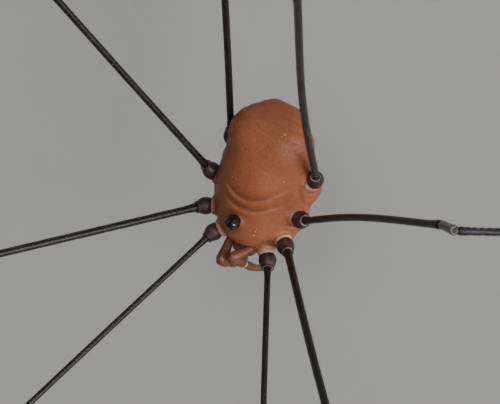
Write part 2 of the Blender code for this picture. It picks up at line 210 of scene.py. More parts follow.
# How far each femur bows out of its straight line, most of all at a third of its length
FEMUR_BOWS = {
    "left": ((0.0, 0.0, 0.03), (-0.08, -0.03, 0.045), (-0.06, 0.13, -0.016), (-0.13, -0.05, 0.07)),
    "right": ((0.0, 0.0, 0.03), (0.0, 0.0, 0.03), (0.0, 0.0, 0.03), (0.05, 0.02, -0.02)),
}
BOW_POWERS = (1.3, 1.6)
BOW_PEAK = 0.1735

# Degrees by which each patella rises, by which the leg turns on past it, and by which the tibia falls
PATELLA_RISES = {"left": (12, 10, 54, 12), "right": (10, 12, 8, 4)}
KNEE_TURNS = {"left": (5, 4, -17.8, -8.8), "right": (15.3, 8.3, -10.6, -19.7)}
TIBIA_FALLS = {"left": (50, 54, 42, 52), "right": (50, 54, 50, 46)}
TARSUS_START_HEIGHT = 1.1
STEEPEST_FALL = 0.98
TARSUS_TURNS = {"left": (16, -14, 12, 15), "right": (-14, 18, -16, 12)}
FLOOR_TOUCH_SHARE = 0.55

# Materials of a pedipalp or a jaw, in the order of its slots
HEAD_SKIN, HEAD_MEMBRANE, HEAD_HAIR, HEAD_CLAW = range(4)

# Joints of the folded pedipalps, from the base to the claw
PALP_JOINTS = {
    "left": ((0.44, -1.1, -0.06), (0.08, -1.52, 0.46), (0.27, -1.7, 0.02), (0.6, -1.8, -0.65)),
    "right": ((-0.4, -1.12, -0.18), (-0.24, -1.8, 0.3), (-0.06, -1.88, -0.28), (-0.12, -1.88, -0.95)),
}
PALP_THICKNESS = {"left": 1.2, "right": 1.3}
# Coxa of each pedipalp: from where it starts, seen from the palp's base, its radii, and its blend
PALP_ROOT = (-0.1, 0.36, 0.0)
PALP_COXA_RADII = (0.24, 0.15)
PALP_COXA_BLEND = 0.12
# Pedipalp from its base to its wrist, then its soft joint and its tarsus: share of the length and radius
PALP_LIMB = (
    (0.0, 0.13), (0.1, 0.15), (0.16, 0.135), (0.2, 0.085), (0.23, 0.08), (0.3, 0.088), (0.42, 0.1),
    (0.54, 0.115), (0.6, 0.118), (0.635, 0.108), (0.655, 0.1), (0.68, 0.11), (0.72, 0.12), (0.77, 0.114),
    (0.8, 0.096), (0.815, 0.09), (0.835, 0.1), (0.88, 0.108), (0.94, 0.102), (0.985, 0.09), (1.0, 0.06),
)
PALP_WRIST = ((0.0, 0.06), (0.2, 0.082), (0.5, 0.076), (0.8, 0.08), (1.0, 0.06))
PALP_TARSUS = (
    (0.0, 0.06), (0.03, 0.082), (0.15, 0.09), (0.5, 0.08), (0.85, 0.062), (0.95, 0.05), (1.0, 0.022),
)
PALP_LIMB_HAIRS = (9, 0.085, 0.06, 0.75)
PALP_TARSUS_HAIRS = (10, 0.07, 0.07, 0.75)
PALP_CLAW_SIZE = (0.09, 0.018)
PALP_ACROSS = (1.0, 0.2, 0.1)
PALP_SEED = 31
PALP_BARE_ROWS = 16
PALP_TARSUS_BARE_ROWS = 2
# Path of the limb: share of the root it starts in, how far the knee stands out past the two straight
# parts, and the shares of these that are drawn in to round it
PALP_START = 0.6
PALP_KNEE = (0.02, 0.03)
PALP_KNEE_SHARES = (0.1, 0.15)
# Soft joint of the wrist: its reach to both sides; start of the tarsus, and how its middle droops
PALP_JOINT_REACH = (0.03, 0.07)
PALP_TARSUS_START = 0.045
PALP_DROOP = (0, -0.05, 0.02)
# Points of the path, rows and sides of the limb and of the tarsus
PALP_LIMB_MESH = (90, 64, 20)
PALP_TARSUS_MESH = (30, 34, 18)
ROUNDING_WEIGHTS = (1, 4, 6, 4, 1)

# Jaw: where its joint is, its joints from there with x as a share, and the radii of its two segments
JAW_PLACE = (0.15, -1.3, -0.2)
JAW_JOINTS = ((1.0, 0.3, 0.12), (1.05, -0.14, 0.08), (1.1, -0.2, -0.3), (1.0, -0.17, -0.46))
JAW_BASE = ((0.0, 0.07), (0.15, 0.1), (0.5, 0.115), (0.8, 0.118), (0.93, 0.1), (1.0, 0.07))
JAW_HAND = ((0.0, 0.07), (0.08, 0.1), (0.3, 0.125), (0.6, 0.12), (0.85, 0.095), (1.0, 0.05))
JAW_HAIRS = (7, 0.09, 0.05, 0.75)
JAW_HAIR_SINK = 0.95
JAW_FLATTENING = 0.85
JAW_SEED = 41
# Where the hanging segment starts from the elbow; points of each path, and sides of segments and fingers
JAW_HAND_START = (0, 0.01, 0.04)
JAW_PATH_POINTS = (8, 24, 14)
JAW_SIDES = 18
JAW_FINGER_SIDES = 10
# Fingers of the jaw: how far out each starts and its length; share, radius and material along it
JAW_FINGERS = ((0.035, 1.0), (-0.035, 0.92))
# Root of a finger over the fork; its middle and tip from there, outward and upward as shares
JAW_FINGER_HEIGHT = 0.04
JAW_FINGER_BENDS = ((0.8, -0.02, -0.12), (-0.75, 0.02, -0.24))
JAW_FINGER = (
    (0.0, 0.045, HEAD_SKIN), (0.4, 0.036, HEAD_SKIN), (0.6, 0.028, HEAD_SKIN),
    (0.62, 0.027, HEAD_CLAW), (0.9, 0.014, HEAD_CLAW), (1.0, 0.004, HEAD_CLAW),
)

# Eye knob: its faces round and rows upward, and how deep its lowest ring sinks in the skin
KNOB_SIDES = 48
KNOB_ROWS = 30
KNOB_HALF_LENGTH = 0.2
KNOB_HEIGHT = 0.29
KNOB_SINK = 0.03
# Swelling of the skin under the knob: lower and upper end, radii there, and width of the blend
KNOB_MOUND = ((0.0, -0.42, 0.45), (0.0, -0.45, 0.76), 0.46, 0.19)
KNOB_MOUND_BLEND = 0.14
# The knob's dome: where it starts, its height, its power and the least square of its size at the top
KNOB_DOME = (0.3, 0.72, 2.3, 0.0004)
# Size of the knob's side at its foot, how much wider it gets, and up to which height
KNOB_SWELL = (0.93, 0.1, 0.4)
# The knob's flare at its foot: its size, the height it fades over, and its share to front and rear
KNOB_SKIRT = (0.1, 0.06, 0.7)
# The knob's fine grain: spacing, seed, height, and how it acts across, along and upward
KNOB_GRAIN = (0.07, 21, 0.0012)
KNOB_GRAIN_SHARES = (1, 1, 0.5)
KNOB_FURROW_DEPTH = 0.028
KNOB_FURROW_WIDTH = 0.3
KNOB_FURROW_START = (0.55, 1.0)
# Teeth on the two ridges: places along the knob, place across and upward, tip from the root, and radius
KNOB_TEETH = (-0.75, -0.35, 0.35, 0.75)
TOOTH_PLACE = (0.42, 0.9)
TOOTH_TIP = (0.01, -0.01, 0.035)
TOOTH_RADIUS = 0.014
TOOTH_ROOT_DEPTH = 0.03
TOOTH_SIDES = 6
# Lenses: the way they face, their place on the knob, and the distance of their middle from it
EYE_FORWARD = 0.08
EYE_LIFT = 0.4
EYE_PLACE = (-0.015, 0.56)
EYE_SETTING = 0.105
# Rim of a lens: place outward and radius, both as shares of the lens's radius
EYE_RIM = ((-0.7, 0.6), (-0.25, 1.02), (-0.06, 1.12), (0.03, 1.13), (0.09, 1.08), (0.1, 0.995))
# Dome of a lens: its height as a share of the radius, then its first angle, last angle and rows
EYE_DOME_HEIGHT = 0.86
EYE_DOME = (0.14, 1.52, 16)
EYE_SIDES = 40

# Trochanter: places along it from its middle, and radii there as shares of the bulb's
BULB_PROFILE = (
    (-0.25, 0.45), (-0.21, 0.6), (-0.17, 0.76), (-0.12, 0.89), (-0.06, 0.97), (0.0, 1.0), (0.06, 0.98),
    (0.12, 0.9), (0.17, 0.8), (0.21, 0.7), (0.235, 0.645), (0.25, 0.635), (0.258, 0.6), (0.262, 0.45),
)
BULB_BEND = 0.12
BULB_PATH_POINTS = 60
BULB_ROWS = 44
BULB_SIDES = 32
BULB_HAIRY_ROWS = (12, 34)
BULB_HAIRS = (11, 0.1, 0.035, 0.75)
BULB_SEED = 60
# Soft rings: place along the trochanter, radius as a share of the bulb's, and thickness
COLLARS = ((-0.17, 0.8, 0.024), (0.25, 0.54, 0.015))
# Dark rolled rim round the opening for the femur: place, radius as a share of the bulb's, and thickness
RIM = (0.258, 0.625, 0.017)

# Ends of leg segments: distance from the end, and radius as a share of the shaft's
FEMUR_ENDS = (
    (
        (0.0, 1.0), (0.012, 1.2), (0.03, 1.27), (0.06, 1.26), (0.12, 1.18), (0.2, 1.09), (0.3, 1.03),
        (0.42, 1.0),
    ),
    ((0.6, 1.0), (0.4, 1.06), (0.22, 1.16), (0.1, 1.24), (0.04, 1.2), (0.01, 1.08), (0.0, 0.85)),
)
SHAFT_ENDS = (
    ((0.0, 0.8), (0.02, 1.0), (0.08, 1.16), (0.18, 1.08), (0.35, 1.0)),
    ((0.5, 1.0), (0.3, 1.05), (0.12, 1.16), (0.04, 1.14), (0.01, 1.02), (0.0, 0.8)),
)
SHORT_ENDS = (
    ((0.0, 0.8), (0.02, 1.0), (0.07, 1.1), (0.14, 1.04)),
    ((0.3, 1.02), (0.15, 1.1), (0.05, 1.12), (0.01, 1.0), (0.0, 0.8)),
)
# Joints between segments: the gap at each end, how far the soft skin reaches into them, and its radii
JOINT_OPENING = 0.045
JOINT_REACH = 0.16
ANKLE_REACH = 0.12
JOINT_SKIN = (0.5, 0.72, 0.8, 0.74, 0.8, 0.72, 0.5)
ANKLE_SKIN = (0.5, 0.85, 0.8, 0.85, 0.5)
JOINT_PATH_POINTS = 12
ANKLE_PATH_POINTS = 10
# Shafts: spacing of the rows, points of the path, and unevenness as a share of the radius
SHAFT_STEP = 0.15
SHAFT_PATH_POINTS = 40
SHAFT_UNEVENNESS = 0.018
TARSUS_TAPER = 0.5
TARSUS_RING = ((0.0, 0.84), (0.18, 0.98), (0.78, 1.06), (0.93, 0.95))
TARSUS_RING_STEP = 0.2
TARSUS_PATH_POINTS = 120
TARSUS_SIDES = 12
TARSUS_BARE_ROWS = 8
TARSUS_HAIR_SINK = 0.96
# Tarsus on the floor: height of its thin end in radii, and the least level part of a step of its path
TARSUS_CLEARANCE = 1.02
TARSUS_LEAST_STEP = 0.2
HAIR_THICKNESS = 0.13
HAIR_ROOT_SHARE = 0.93
# Rows of hairs: bare share of a step at each end, rows until the pattern repeats, scatter along and round
# the tube, least and greatest length, and what a hair that leans loses of its height
COAT_MARGIN = 0.3
COAT_STAGGER = 3
HAIR_SCATTER = 0.14
HAIR_TURN = 0.12
HAIR_LENGTHS = (0.75, 1.2)
HAIR_LEAN_LOSS = 0.6
# Coats of a leg: rows round it, step in a row, length and lean; the settings hold the femur's step
LEG_SPINES = (8, 0.05, 0.85)
TIBIA_HAIRS = (7, 0.16, 0.085, 0.9)
TARSUS_HAIRS = (6, 0.14, 0.06, 0.95)
# Claw: its size on a leg, how far it hooks down as a share of that, and its tip's height and radius
LEG_CLAW_LENGTH = 0.16
LEG_CLAW_SHARE = 0.8
CLAW_HOOK = 0.55
CLAW_LIFT = 0.002
CLAW_TIP_RADIUS = 0.0015
# Rows and sides of a claw, how much its curve shortens it, and how it thins out
CLAW_ROWS = 7
CLAW_SIDES = 8
CLAW_SHORTENING = 0.25
CLAW_THINNING = 0.8

# Colours that are not among the settings
# Dark red of the painted shade in folds, borders and grain crevices, also used for the dark freckles
SHADE_AND_FRECKLE_RED = (0.12, 0.03, 0.014)
# Darker red painted on the flanks and the rear as shade
FLANK_SHADE_RED = (0.2, 0.036, 0.017)
GRANULE_BROWN = (0.5, 0.27, 0.18)
GRANULE_PALE = (0.62, 0.4, 0.3)
SPECK_WHITE = (0.66, 0.42, 0.3)
# How deep red, green and blue light sinks into soft skin, as shares of the given depth
FLESH_DEPTHS = (1.0, 0.38, 0.2)
PATELLA_DARK = (0.07, 0.06, 0.058)
PATELLA_LIGHT = (0.15, 0.135, 0.13)
SLATE_DARK = (0.018, 0.017, 0.022)
SLATE_LIGHT = (0.052, 0.05, 0.064)
FOOT_DARK = (0.035, 0.03, 0.032)
FOOT_LIGHT = (0.1, 0.085, 0.08)
KNOB_BLACK = (0.004, 0.004, 0.004)
KNOB_BROWN = (0.012, 0.009, 0.008)
CLAW_DARK = (0.012, 0.006, 0.004)
CLAW_LIGHT = (0.06, 0.025, 0.012)
SPINE_BROWN = (0.1, 0.06, 0.04)
SPINE_PALE = (0.4, 0.32, 0.25)
HAIR_BROWN = (0.1, 0.07, 0.05)
HAIR_PALE = (0.3, 0.24, 0.19)

# Stage lights: name, direction from the body, distance, size, power and tint
STAGE_LIGHTS = (
    ("key_light", (0.9, 0.2, 0.48), 620.0, 480.0, 5.0, (1.0, 0.98, 0.95)),
    ("view_light", (0.3, 0.36, 0.88), 900.0, 420.0, 2.9, (1.0, 1.0, 1.0)),
    ("back_light", (-0.42, 0.9, 0.3), 600.0, 380.0, 0.2, (0.96, 0.98, 1.0)),
)
FLOOR_SQUARES = 24
ROOM_COLOUR = (0.8, 0.84, 0.9)
ROOM_STRENGTH = 0.12

# Numbers of the Mix node's sockets for colours
MIX_SHARE, MIX_FIRST, MIX_SECOND, MIX_RESULT = 0, 6, 7, 2

PALP_PARTS = ("femur", "tibia", "tarsus")
LEG_PARTS = ("femur", "patella", "tibia", "metatarsus", "tarsus")

# Materials of a leg, in the order of its slots
BULB, FEMUR, MEMBRANE, PATELLA, TIBIA, FOOT, SPINE, CLAW, HAIR = range(9)
LEG_SEED = 100
# Shafts of a leg: part, material, radii at its start and end as shares of the femur's, and its ends
SHAFTS = (
    ("femur", FEMUR, 1.0, 0.92, FEMUR_ENDS),
    ("patella", PATELLA, 1.05, 1.1, SHORT_ENDS),
    ("tibia", TIBIA, 0.92, 0.82, SHAFT_ENDS),
    ("metatarsus", TIBIA, 0.78, 0.62, SHAFT_ENDS),
)

# The camera, worked out for a picture 500 wide and 404 high
PICTURE_WIDTH = 500
CAMERA_AIM = (-0.153, -0.108, 0.0)
CAMERA_AZIMUTH = 130.84
CAMERA_ELEVATION = 61.02
CAMERA_ROLL = -107.72
CAMERA_DISTANCE = 45.0
CAMERA_PIXELS_PER_MM = 38.775
SENSOR_WIDTH = 36.0
CAMERA_REACH = 10.0


def colour_setting(name, text, default):
    return FloatVectorProperty(name=name, description=text, default=default, subtype="COLOR", min=0, max=1)


def length_setting(name, text, default):
    """Property for a length, whose default is given in millimetres."""
    return FloatProperty(name=name, description=text, default=default * MM, unit="LENGTH", precision=5)


class BodySettings(bpy.types.PropertyGroup):
    voxel: length_setting("Mesh step", "Spacing of the skin's points", 0.02)
    fold_depth: length_setting("Fold depth", "Depth of the crescent folds behind the eyes", 0.033)
    segment_depth: length_setting("Segment depth", "Depth of the abdomen's segment borders", 0.01)
    grain_height: length_setting("Grain height", "Height of the skin's fine grains", 0.0016)
    tan: colour_setting("Tan", "Lighter colour of the body", (0.36, 0.126, 0.052))
    russet: colour_setting("Russet", "Darker colour of the body", (0.255, 0.066, 0.03))
    pale: colour_setting("Pale skin", "Soft skin round the leg bases", (0.54, 0.34, 0.25))


class HeadSettings(bpy.types.PropertyGroup):
    knob_half_width: length_setting("Knob half width", "Half the width of the eye knob", 0.16)
    eye_radius: length_setting("Eye radius", "Radius of each eye's lens", 0.1)
    eye_black: colour_setting("Eye", "Colour of the lenses", (0.004, 0.004, 0.005))
    palp_brown: colour_setting("Palp", "Colour of the pedipalps", (0.2, 0.062, 0.027))


class LegSettings(bpy.types.PropertyGroup):
    femur_radius: length_setting("Femur radius", "Radius of the femora", 0.088)
    bulb_radius: length_setting("Bulb radius", "Radius of the trochanter bulbs", 0.232)
    tarsus_radius: length_setting("Tarsus radius", "Radius at the start of the tarsus", 0.055)
    sides: IntProperty(name="Sides", description="Faces round each leg", default=16, min=6)
    spine_step: length_setting("Spine step", "Distance between the small spines in a row", 0.13)
    black: colour_setting("Leg black", "Darkest colour of the legs", (0.008, 0.0065, 0.0068))
    purple: colour_setting("Bulb purple", "Colour of the trochanter bulbs", (0.068, 0.03, 0.029))
    membrane: colour_setting("Membrane", "Soft pale skin in the leg joints", (0.6, 0.45, 0.37))


class StageSettings(bpy.types.PropertyGroup):
    floor: colour_setting("Floor", "Colour of the floor", (0.42, 0.42, 0.405))
    floor_half_size: length_setting("Floor half size", "Half the side of the floor", 4000.0)


def settings(name):
    return getattr(bpy.context.scene, "harvestman_" + name)


def in_mm(group, name):
    """One of the lengths among the settings, in millimetres."""
    return getattr(settings(group), name) / MM


def body_middle():
    """Middle of the body in metres, from where the knob's solid stands."""
    low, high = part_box("ocularium")
    x, y, z = KNOB_FOOT
    return Vector(((low.x + high.x) / 2 - x * MM, (low.y + high.y) / 2 - y * MM, low.z - z * MM))


def floor_level():
    """Height of the floor in millimetres from the body's middle."""
    return -body_middle().z / MM


def unit(vector):
    vector = np.asarray(vector, float)
    return vector / np.linalg.norm(vector)


def smooth_step(low, high, value):
    share = np.clip((value - low) / (high - low), 0, 1)
    return share * share * (3 - 2 * share)


def bump_curve(value, width):
    return np.exp(-((value / width) ** 2))


def ripple(along, waves):
    """Sum of rounded ridges and grooves; each wave has a place, a width and a height."""
    return sum(height * bump_curve(along - place, width) for place, width, height in waves)


def mirrored(place, side):
    return np.array(place, float) * (SIDES[side], 1, 1)


def directions_across(along):
    """Two directions at right angles to the given one and to each other."""
    across = unit(np.cross(along, UP if abs(along[2]) < STEEP else (1.0, 0.0, 0.0)))
    return across, np.cross(along, across)


def lengths_along(path):
    """Distance of each point of a path from its start."""
    return np.concatenate(([0], np.cumsum(np.linalg.norm(np.diff(path, axis=0), axis=1))))


def points_along(path, lengths, at):
    """Places on a path at the given distances from its start."""
    return np.stack([np.interp(at, lengths, path[:, axis]) for axis in range(3)], axis=-1)


# Meshes

class Surface:
    """Points in millimetres and faces of one piece, with a material number for each face."""

    def __init__(self):
        self.points = []
        self.faces = []
        self.slots = []
        self.count = 0

    def add(self, points, faces, slot=0):
        offset = self.count
        self.points.append(np.asarray(points, float))
        self.count += len(points)
        for face in faces:
            self.faces.append(tuple(index + offset for index in face))
            self.slots.append(slot)

    def add_rings(self, rings, slots):
        """Skin over equal rings of points, closed by a fan at each end; slots has a number for each band."""
        sides = len(rings[0])
        points = [point for ring in rings for point in ring]
        points.append(np.mean(rings[0], axis=0))
        points.append(np.mean(rings[-1], axis=0))
        offset = self.count
        self.points.append(np.array(points))
        self.count += len(points)
        first_cap = offset + len(points) - 2
        last_row = offset + (len(rings) - 1) * sides
        for i in range(len(rings) - 1):
            row = offset + i * sides
            for j in range(sides):
                k = (j + 1) % sides
                self.faces.append((row + j, row + k, row + sides + k, row + sides + j))
                self.slots.append(slots[i])
        for j in range(sides):
            k = (j + 1) % sides
            self.faces.append((offset + k, offset + j, first_cap))
            self.slots.append(slots[0])
            self.faces.append((last_row + j, last_row + k, first_cap + 1))
            self.slots.append(slots[-1])

    def to_object(self, name, materials, smooth_angle):
        data = bpy.data.meshes.new(name)
        points = np.concatenate(self.points) * MM
        data.from_pydata(points.tolist(), [], self.faces)
        for material in materials:
            data.materials.append(material)
        data.polygons.foreach_set("material_index", self.slots)
        data.shade_smooth()
        data.set_sharp_from_angle(angle=math.radians(smooth_angle))
        data.update()
        return place_piece(name, data)


def add_to_scene(name, data):
    item = bpy.data.objects.new(name, data)
    bpy.context.scene.collection.objects.link(item)
    return item


def place_piece(name, data):
    """Object with its origin in the middle of the body."""
    piece = add_to_scene(name, data)
    piece.location = body_middle()
    return piece


def mesh_from(name, mesh):
    """Mesh of that name from one that bmesh made, which is freed."""
    data = bpy.data.meshes.new(name)
    mesh.to_mesh(data)
    mesh.free()
    return data


def finish_piece(piece, nodes):
    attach(piece, BODY)
    if nodes:
        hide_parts(*nodes)


def ring_frames(path, hint):
    """For each point of a path: its direction, a level direction across it, and the third one."""
    path = np.asarray(path, float)
    along = np.gradient(path, axis=0)
    along /= np.linalg.norm(along, axis=1, keepdims=True)
    hint = unit(hint)
    across = hint - along * (along @ hint)[:, None]
    across /= np.linalg.norm(across, axis=1, keepdims=True)
    return along, across, np.cross(along, across)


def tube_rings(path, radii, sides, hint, flatten=None):
    """Rings of points round a path, flattened by that share in their third direction if one is given."""
    _, across, third = ring_frames(path, hint)
    angles = 2 * np.pi * (np.arange(sides) + 0.5) / sides
    radii = np.asarray(radii, float)
    tall = radii if flatten is None else radii * flatten
    wide = across[:, None, :] * (radii[:, None] * np.cos(angles))[:, :, None]
    high = third[:, None, :] * (tall[:, None] * np.sin(angles))[:, :, None]
    return np.asarray(path)[:, None, :] + wide + high


def spike(surface, root, tip, radius, slot, sides=4):
    """Small spine from its root to its tip."""
    across, third = directions_across(unit(tip - root))
    points = []
    for i in range(sides):
        angle = 2 * np.pi * i / sides
        points.append(root + radius * (across * math.cos(angle) + third * math.sin(angle)))
    points.append(tip)
    faces = [(i, (i + 1) % sides, sides) for i in range(sides)]
    faces.append(tuple(reversed(range(sides))))
    surface.add(points, faces, slot)


# The body's shape, as a distance to its surface

def ellipsoid_distance(points, middle, half_size, squareness=2.0):
    scaled = np.abs((points - middle) / half_size) + TINY
    size = (scaled ** squareness).sum(axis=1) ** (1 / squareness)
    slope = np.linalg.norm((scaled / size[:, None]) ** (squareness - 1) / half_size, axis=1)
    return (size - 1) / slope


def cone_distance(points, start, end, start_radius, end_radius):
    line = end - start
    share = np.clip((points - start) @ line / (line @ line), 0, 1)
    nearest = start + share[:, None] * line
    return np.linalg.norm(points - nearest, axis=1) - (start_radius + (end_radius - start_radius) * share)


def ring_distance(points, middle, axis, ring_radius, thickness):
    offset = points - middle
    height = offset @ axis
    reach = np.linalg.norm(offset - height[:, None] * axis, axis=1)
    return np.hypot(reach - ring_radius, height) - thickness


def blend_distances(first, second, width):
    """Union of two shapes with a soft fillet of that width."""
    share = np.clip(0.5 + 0.5 * (second - first) / width, 0, 1)
    return second + (first - second) * share - width * share * (1 - share)


def polyline_distance(points, places):
    """Distance from each point to a line of straight stretches, and how far along it is, from 0 to 1."""
    nearest = np.full(len(points), np.inf)
    share_along = np.zeros(len(points))
    for i in range(len(places) - 1):
        line = places[i + 1] - places[i]
        share = np.clip((points - places[i]) @ line / (line @ line), 0, 1)
        away = np.linalg.norm(points - places[i] - share[:, None] * line, axis=1)
        share_along = np.where(away < nearest, (i + share) / (len(places) - 1), share_along)
        nearest = np.minimum(nearest, away)
    return nearest, share_along


def trochanter_middle(side, pair):
    return mirrored(TROCHANTERS[pair], side) + np.array(TROCHANTER_SHIFTS[side][pair])


def coxa_line(side, pair):
    """Inner end and outer end of a coxa, and its direction."""
    root = mirrored(COXA_ROOTS[pair], side)
    axis = unit(trochanter_middle(side, pair) - root)
    return root, trochanter_middle(side, pair) - axis * LIP_SETBACK, axis


def past_border(points, border):
    """How far each point lies behind a border between two of the abdomen's segments."""
    return points[:, 1] - border - SEGMENT_LEAN * (points[:, 2] - ABDOMEN_MIDDLE[2])


def abdomen_distance(points):
    """Egg-shaped abdomen with a slight lip at each segment's border."""
    distance = ellipsoid_distance(points, ABDOMEN_MIDDLE, ABDOMEN_HALF_SIZE, ABDOMEN_SQUARENESS)
    for place, radius, width in ABDOMEN_SWELLINGS:
        swelling = cone_distance(points, mirrored(place, "left"), mirrored(place, "right"), radius, radius)
        distance = blend_distances(distance, swelling, width)
    depth = in_mm("body", "segment_depth")
    for border in SEGMENT_BORDERS:
        groove = ripple(past_border(points, border), SEGMENT_WAVES)
        distance = distance + depth * groove * smooth_step(*SEGMENT_FADE, points[:, 1])
    return distance


def fold_offset(points):
    """How far the crescent folds across the back sink or raise the skin."""
    depth = in_mm("body", "fold_depth")
    sideways = np.abs(points[:, 0])
    on_back = smooth_step(*BACK_HEIGHTS, points[:, 2])
    fade_start, fade_end = FOLD_FADE
    offset = np.zeros(len(points))
    for middle, bend, right_reach, left_reach in FOLDS:
        along = points[:, 1] - (middle + bend * sideways ** 2)
        reach = np.where(points[:, 0] < 0, right_reach, left_reach)
        fade = on_back * (1 - smooth_step(reach * fade_start, reach * fade_end, sideways))
        offset += fade * depth * ripple(along, FOLD_WAVES)
    folded = np.stack([sideways, points[:, 1], points[:, 2]], axis=1)
    away, share = polyline_distance(folded, np.array(FLANK_CREASE))
    ends = np.sin(np.pi * np.clip(share, *CREASE_ENDS)) ** 0.5
    return offset + ends * depth * ripple(away, CREASE_WAVES)


def coxa_cones(side, pair):
    """Both ends and both radii of a coxa's cone, and of a second one where it has a swelling."""
    root, end, axis = coxa_line(side, pair)
    inner, outer = COXA_INNER_RADII[pair], COXA_OUTER_RADII[pair]
    cones = [(root, end - axis * outer * COXA_END_SHARE - UP * COXA_DROPS[pair], inner, outer)]
    if pair in COXA_BELLIES:
        place, radius = COXA_BELLIES[pair]
        cones.append((root, mirrored(place, side), inner, radius))
    return cones


def seat_cone(side, pair, seat):
    """Both ends and both radii of the leg's seat on its coxa."""
    _, end, axis = coxa_line(side, pair)
    back, front, inner, outer = seat
    return end - axis * back, end - axis * front, inner, outer


def palp_cone(side):
    """Both ends and both radii of a pedipalp's coxa."""
    base = np.array(PALP_JOINTS[side][0])
    return base + mirrored(PALP_ROOT, side), base, *PALP_COXA_RADII


def coxa_distance(points, side, pair):
    """One coxa with its swelling, the seat of its leg and the lip round it, and a groove behind the lip."""
    _, end, axis = coxa_line(side, pair)
    coxa, *bellies = [cone_distance(points, *cone) for cone in coxa_cones(side, pair)]
    for belly in bellies:
        coxa = blend_distances(coxa, belly, BELLY_BLEND)
    coxa = blend_distances(coxa, cone_distance(points, *seat_cone(side, pair, SEAT)), SEAT_BLEND)
    lip = ring_distance(points, end - axis * LIP_BACK, axis, SEAT_RADIUS, LIP_THICKNESS)
    coxa = blend_distances(coxa, lip, LIP_BLEND)
    along = (points - end) @ axis
    reach = np.linalg.norm(points - end - along[:, None] * axis, axis=1)
    depth, out, out_width, ahead, ahead_width = LIP_GROOVE
    across_groove = bump_curve(reach - SEAT_RADIUS - out, out_width)
    return coxa + depth * across_groove * bump_curve(along - ahead, ahead_width)


def body_distance(points):
    """Distance in millimetres from the skin of body and coxae, negative inside."""
    waist = ellipsoid_distance(points, WAIST_MIDDLE, WAIST_HALF_SIZE)
    carapace = ellipsoid_distance(points, CARAPACE_MIDDLE, CARAPACE_HALF_SIZE)
    front = blend_distances(waist, carapace, WAIST_BLEND)
    body = blend_distances(abdomen_distance(points), front, ABDOMEN_BLEND)
    for side in SIDES:
        for pair in PAIRS:
            body = blend_distances(body, coxa_distance(points, side, pair), COXA_BLENDS[pair])
    for side in SIDES:
        body = blend_distances(body, cone_distance(points, *palp_cone(side)), PALP_COXA_BLEND)
    low, high, low_radius, high_radius = KNOB_MOUND
    mound = cone_distance(points, np.array(low), np.array(high), low_radius, high_radius)
    return blend_distances(body, mound, KNOB_MOUND_BLEND)


def skin_height(places, rounds=12):
    """Height of the skin straight below or above each place on the back."""
    places = places.copy()
    for _ in range(rounds):
        places[:, 2] -= body_distance(places)
    return places[:, 2]


def rough_body():
    """Closed shape near the skin: balls of the body and rows of balls, made into one by a voxel mesh."""
    mesh = bmesh.new()
    balls = [
        (ABDOMEN_MIDDLE, ABDOMEN_HALF_SIZE), (WAIST_MIDDLE, WAIST_HALF_SIZE),
        (CARAPACE_MIDDLE, CARAPACE_HALF_SIZE),
    ]
    for place, radius, _ in ABDOMEN_SWELLINGS:
        balls += [(mirrored(place, side), (radius, radius, radius)) for side in SIDES]
    for middle, half_size in balls:
        matrix = Matrix.Translation(tuple(middle)) @ Matrix.Diagonal((*half_size, 1.0))
        bmesh.ops.create_icosphere(mesh, subdivisions=5, radius=1.0, matrix=matrix)
    for side in SIDES:
        stretches = []
        for pair in PAIRS:
            cone, *bellies = coxa_cones(side, pair)
            stretches += [cone, seat_cone(side, pair, ROUGH_SEAT), *bellies]
        stretches.append(palp_cone(side))
        for start, end, start_radius, end_radius in stretches:
            for share in np.linspace(0, 1, BALLS_PER_STRETCH):
                place = start + (end - start) * share
                radius = start_radius + (end_radius - start_radius) * share
                matrix = Matrix.Translation(place.tolist())
                bmesh.ops.create_icosphere(mesh, subdivisions=3, radius=radius, matrix=matrix)
    rough = add_to_scene("rough_body", mesh_from("rough_body", mesh))
    remesh = rough.modifiers.new("voxels", "REMESH")
    remesh.mode = "VOXEL"
    remesh.voxel_size = in_mm("body", "voxel")
    shape = rough.evaluated_get(bpy.context.evaluated_depsgraph_get())
    result = bpy.data.meshes.new_from_object(shape)
    bpy.data.objects.remove(rough, do_unlink=True)
    return result


def skin_slope(points):
    """Gradient of the distance from the skin, by small steps; it points outward."""
    slope = np.empty_like(points)
    for axis in range(3):
        move = np.zeros(3)
        move[axis] = SLOPE_STEP
        slope[:, axis] = (body_distance(points + move) - body_distance(points - move)) / (2 * SLOPE_STEP)
    return slope


def settle_on_skin(points, rounds=6):
    """Moves points on to the skin."""
    for _ in range(rounds):
        slope = skin_slope(points)
        steepness = np.maximum((slope * slope).sum(axis=1), LEAST_STEEPNESS)
        move = np.clip(body_distance(points) / steepness, -LONGEST_MOVE, LONGEST_MOVE)
        points = points - slope * move[:, None]
    return points


def grain_noise(points, spacing, seed):
    """Rounded grains about that far apart: the sum of a few turned wave patterns."""
    draw = np.random.default_rng(seed)
    total = np.zeros(len(points))
    for _ in range(NOISE_WAVES):
        direction = unit(draw.normal(size=3)) * (2 * np.pi / spacing) * draw.uniform(*NOISE_SPREAD)
        total += np.sin(points @ direction + draw.uniform(0, 2 * np.pi))
    return total / NOISE_SIZE


def pale_share(points):
    """How pale the soft skin is at each point: most at the end of each coxa."""
    share = np.zeros(len(points))
    for side in SIDES:
        for pair in PAIRS:
            away = np.linalg.norm(points - trochanter_middle(side, pair), axis=1)
            near, far = (PALE_REACHES[pair] * part for part in PALE_FADE)
            share = np.maximum(share, 1 - smooth_step(near, far, away))
    return share


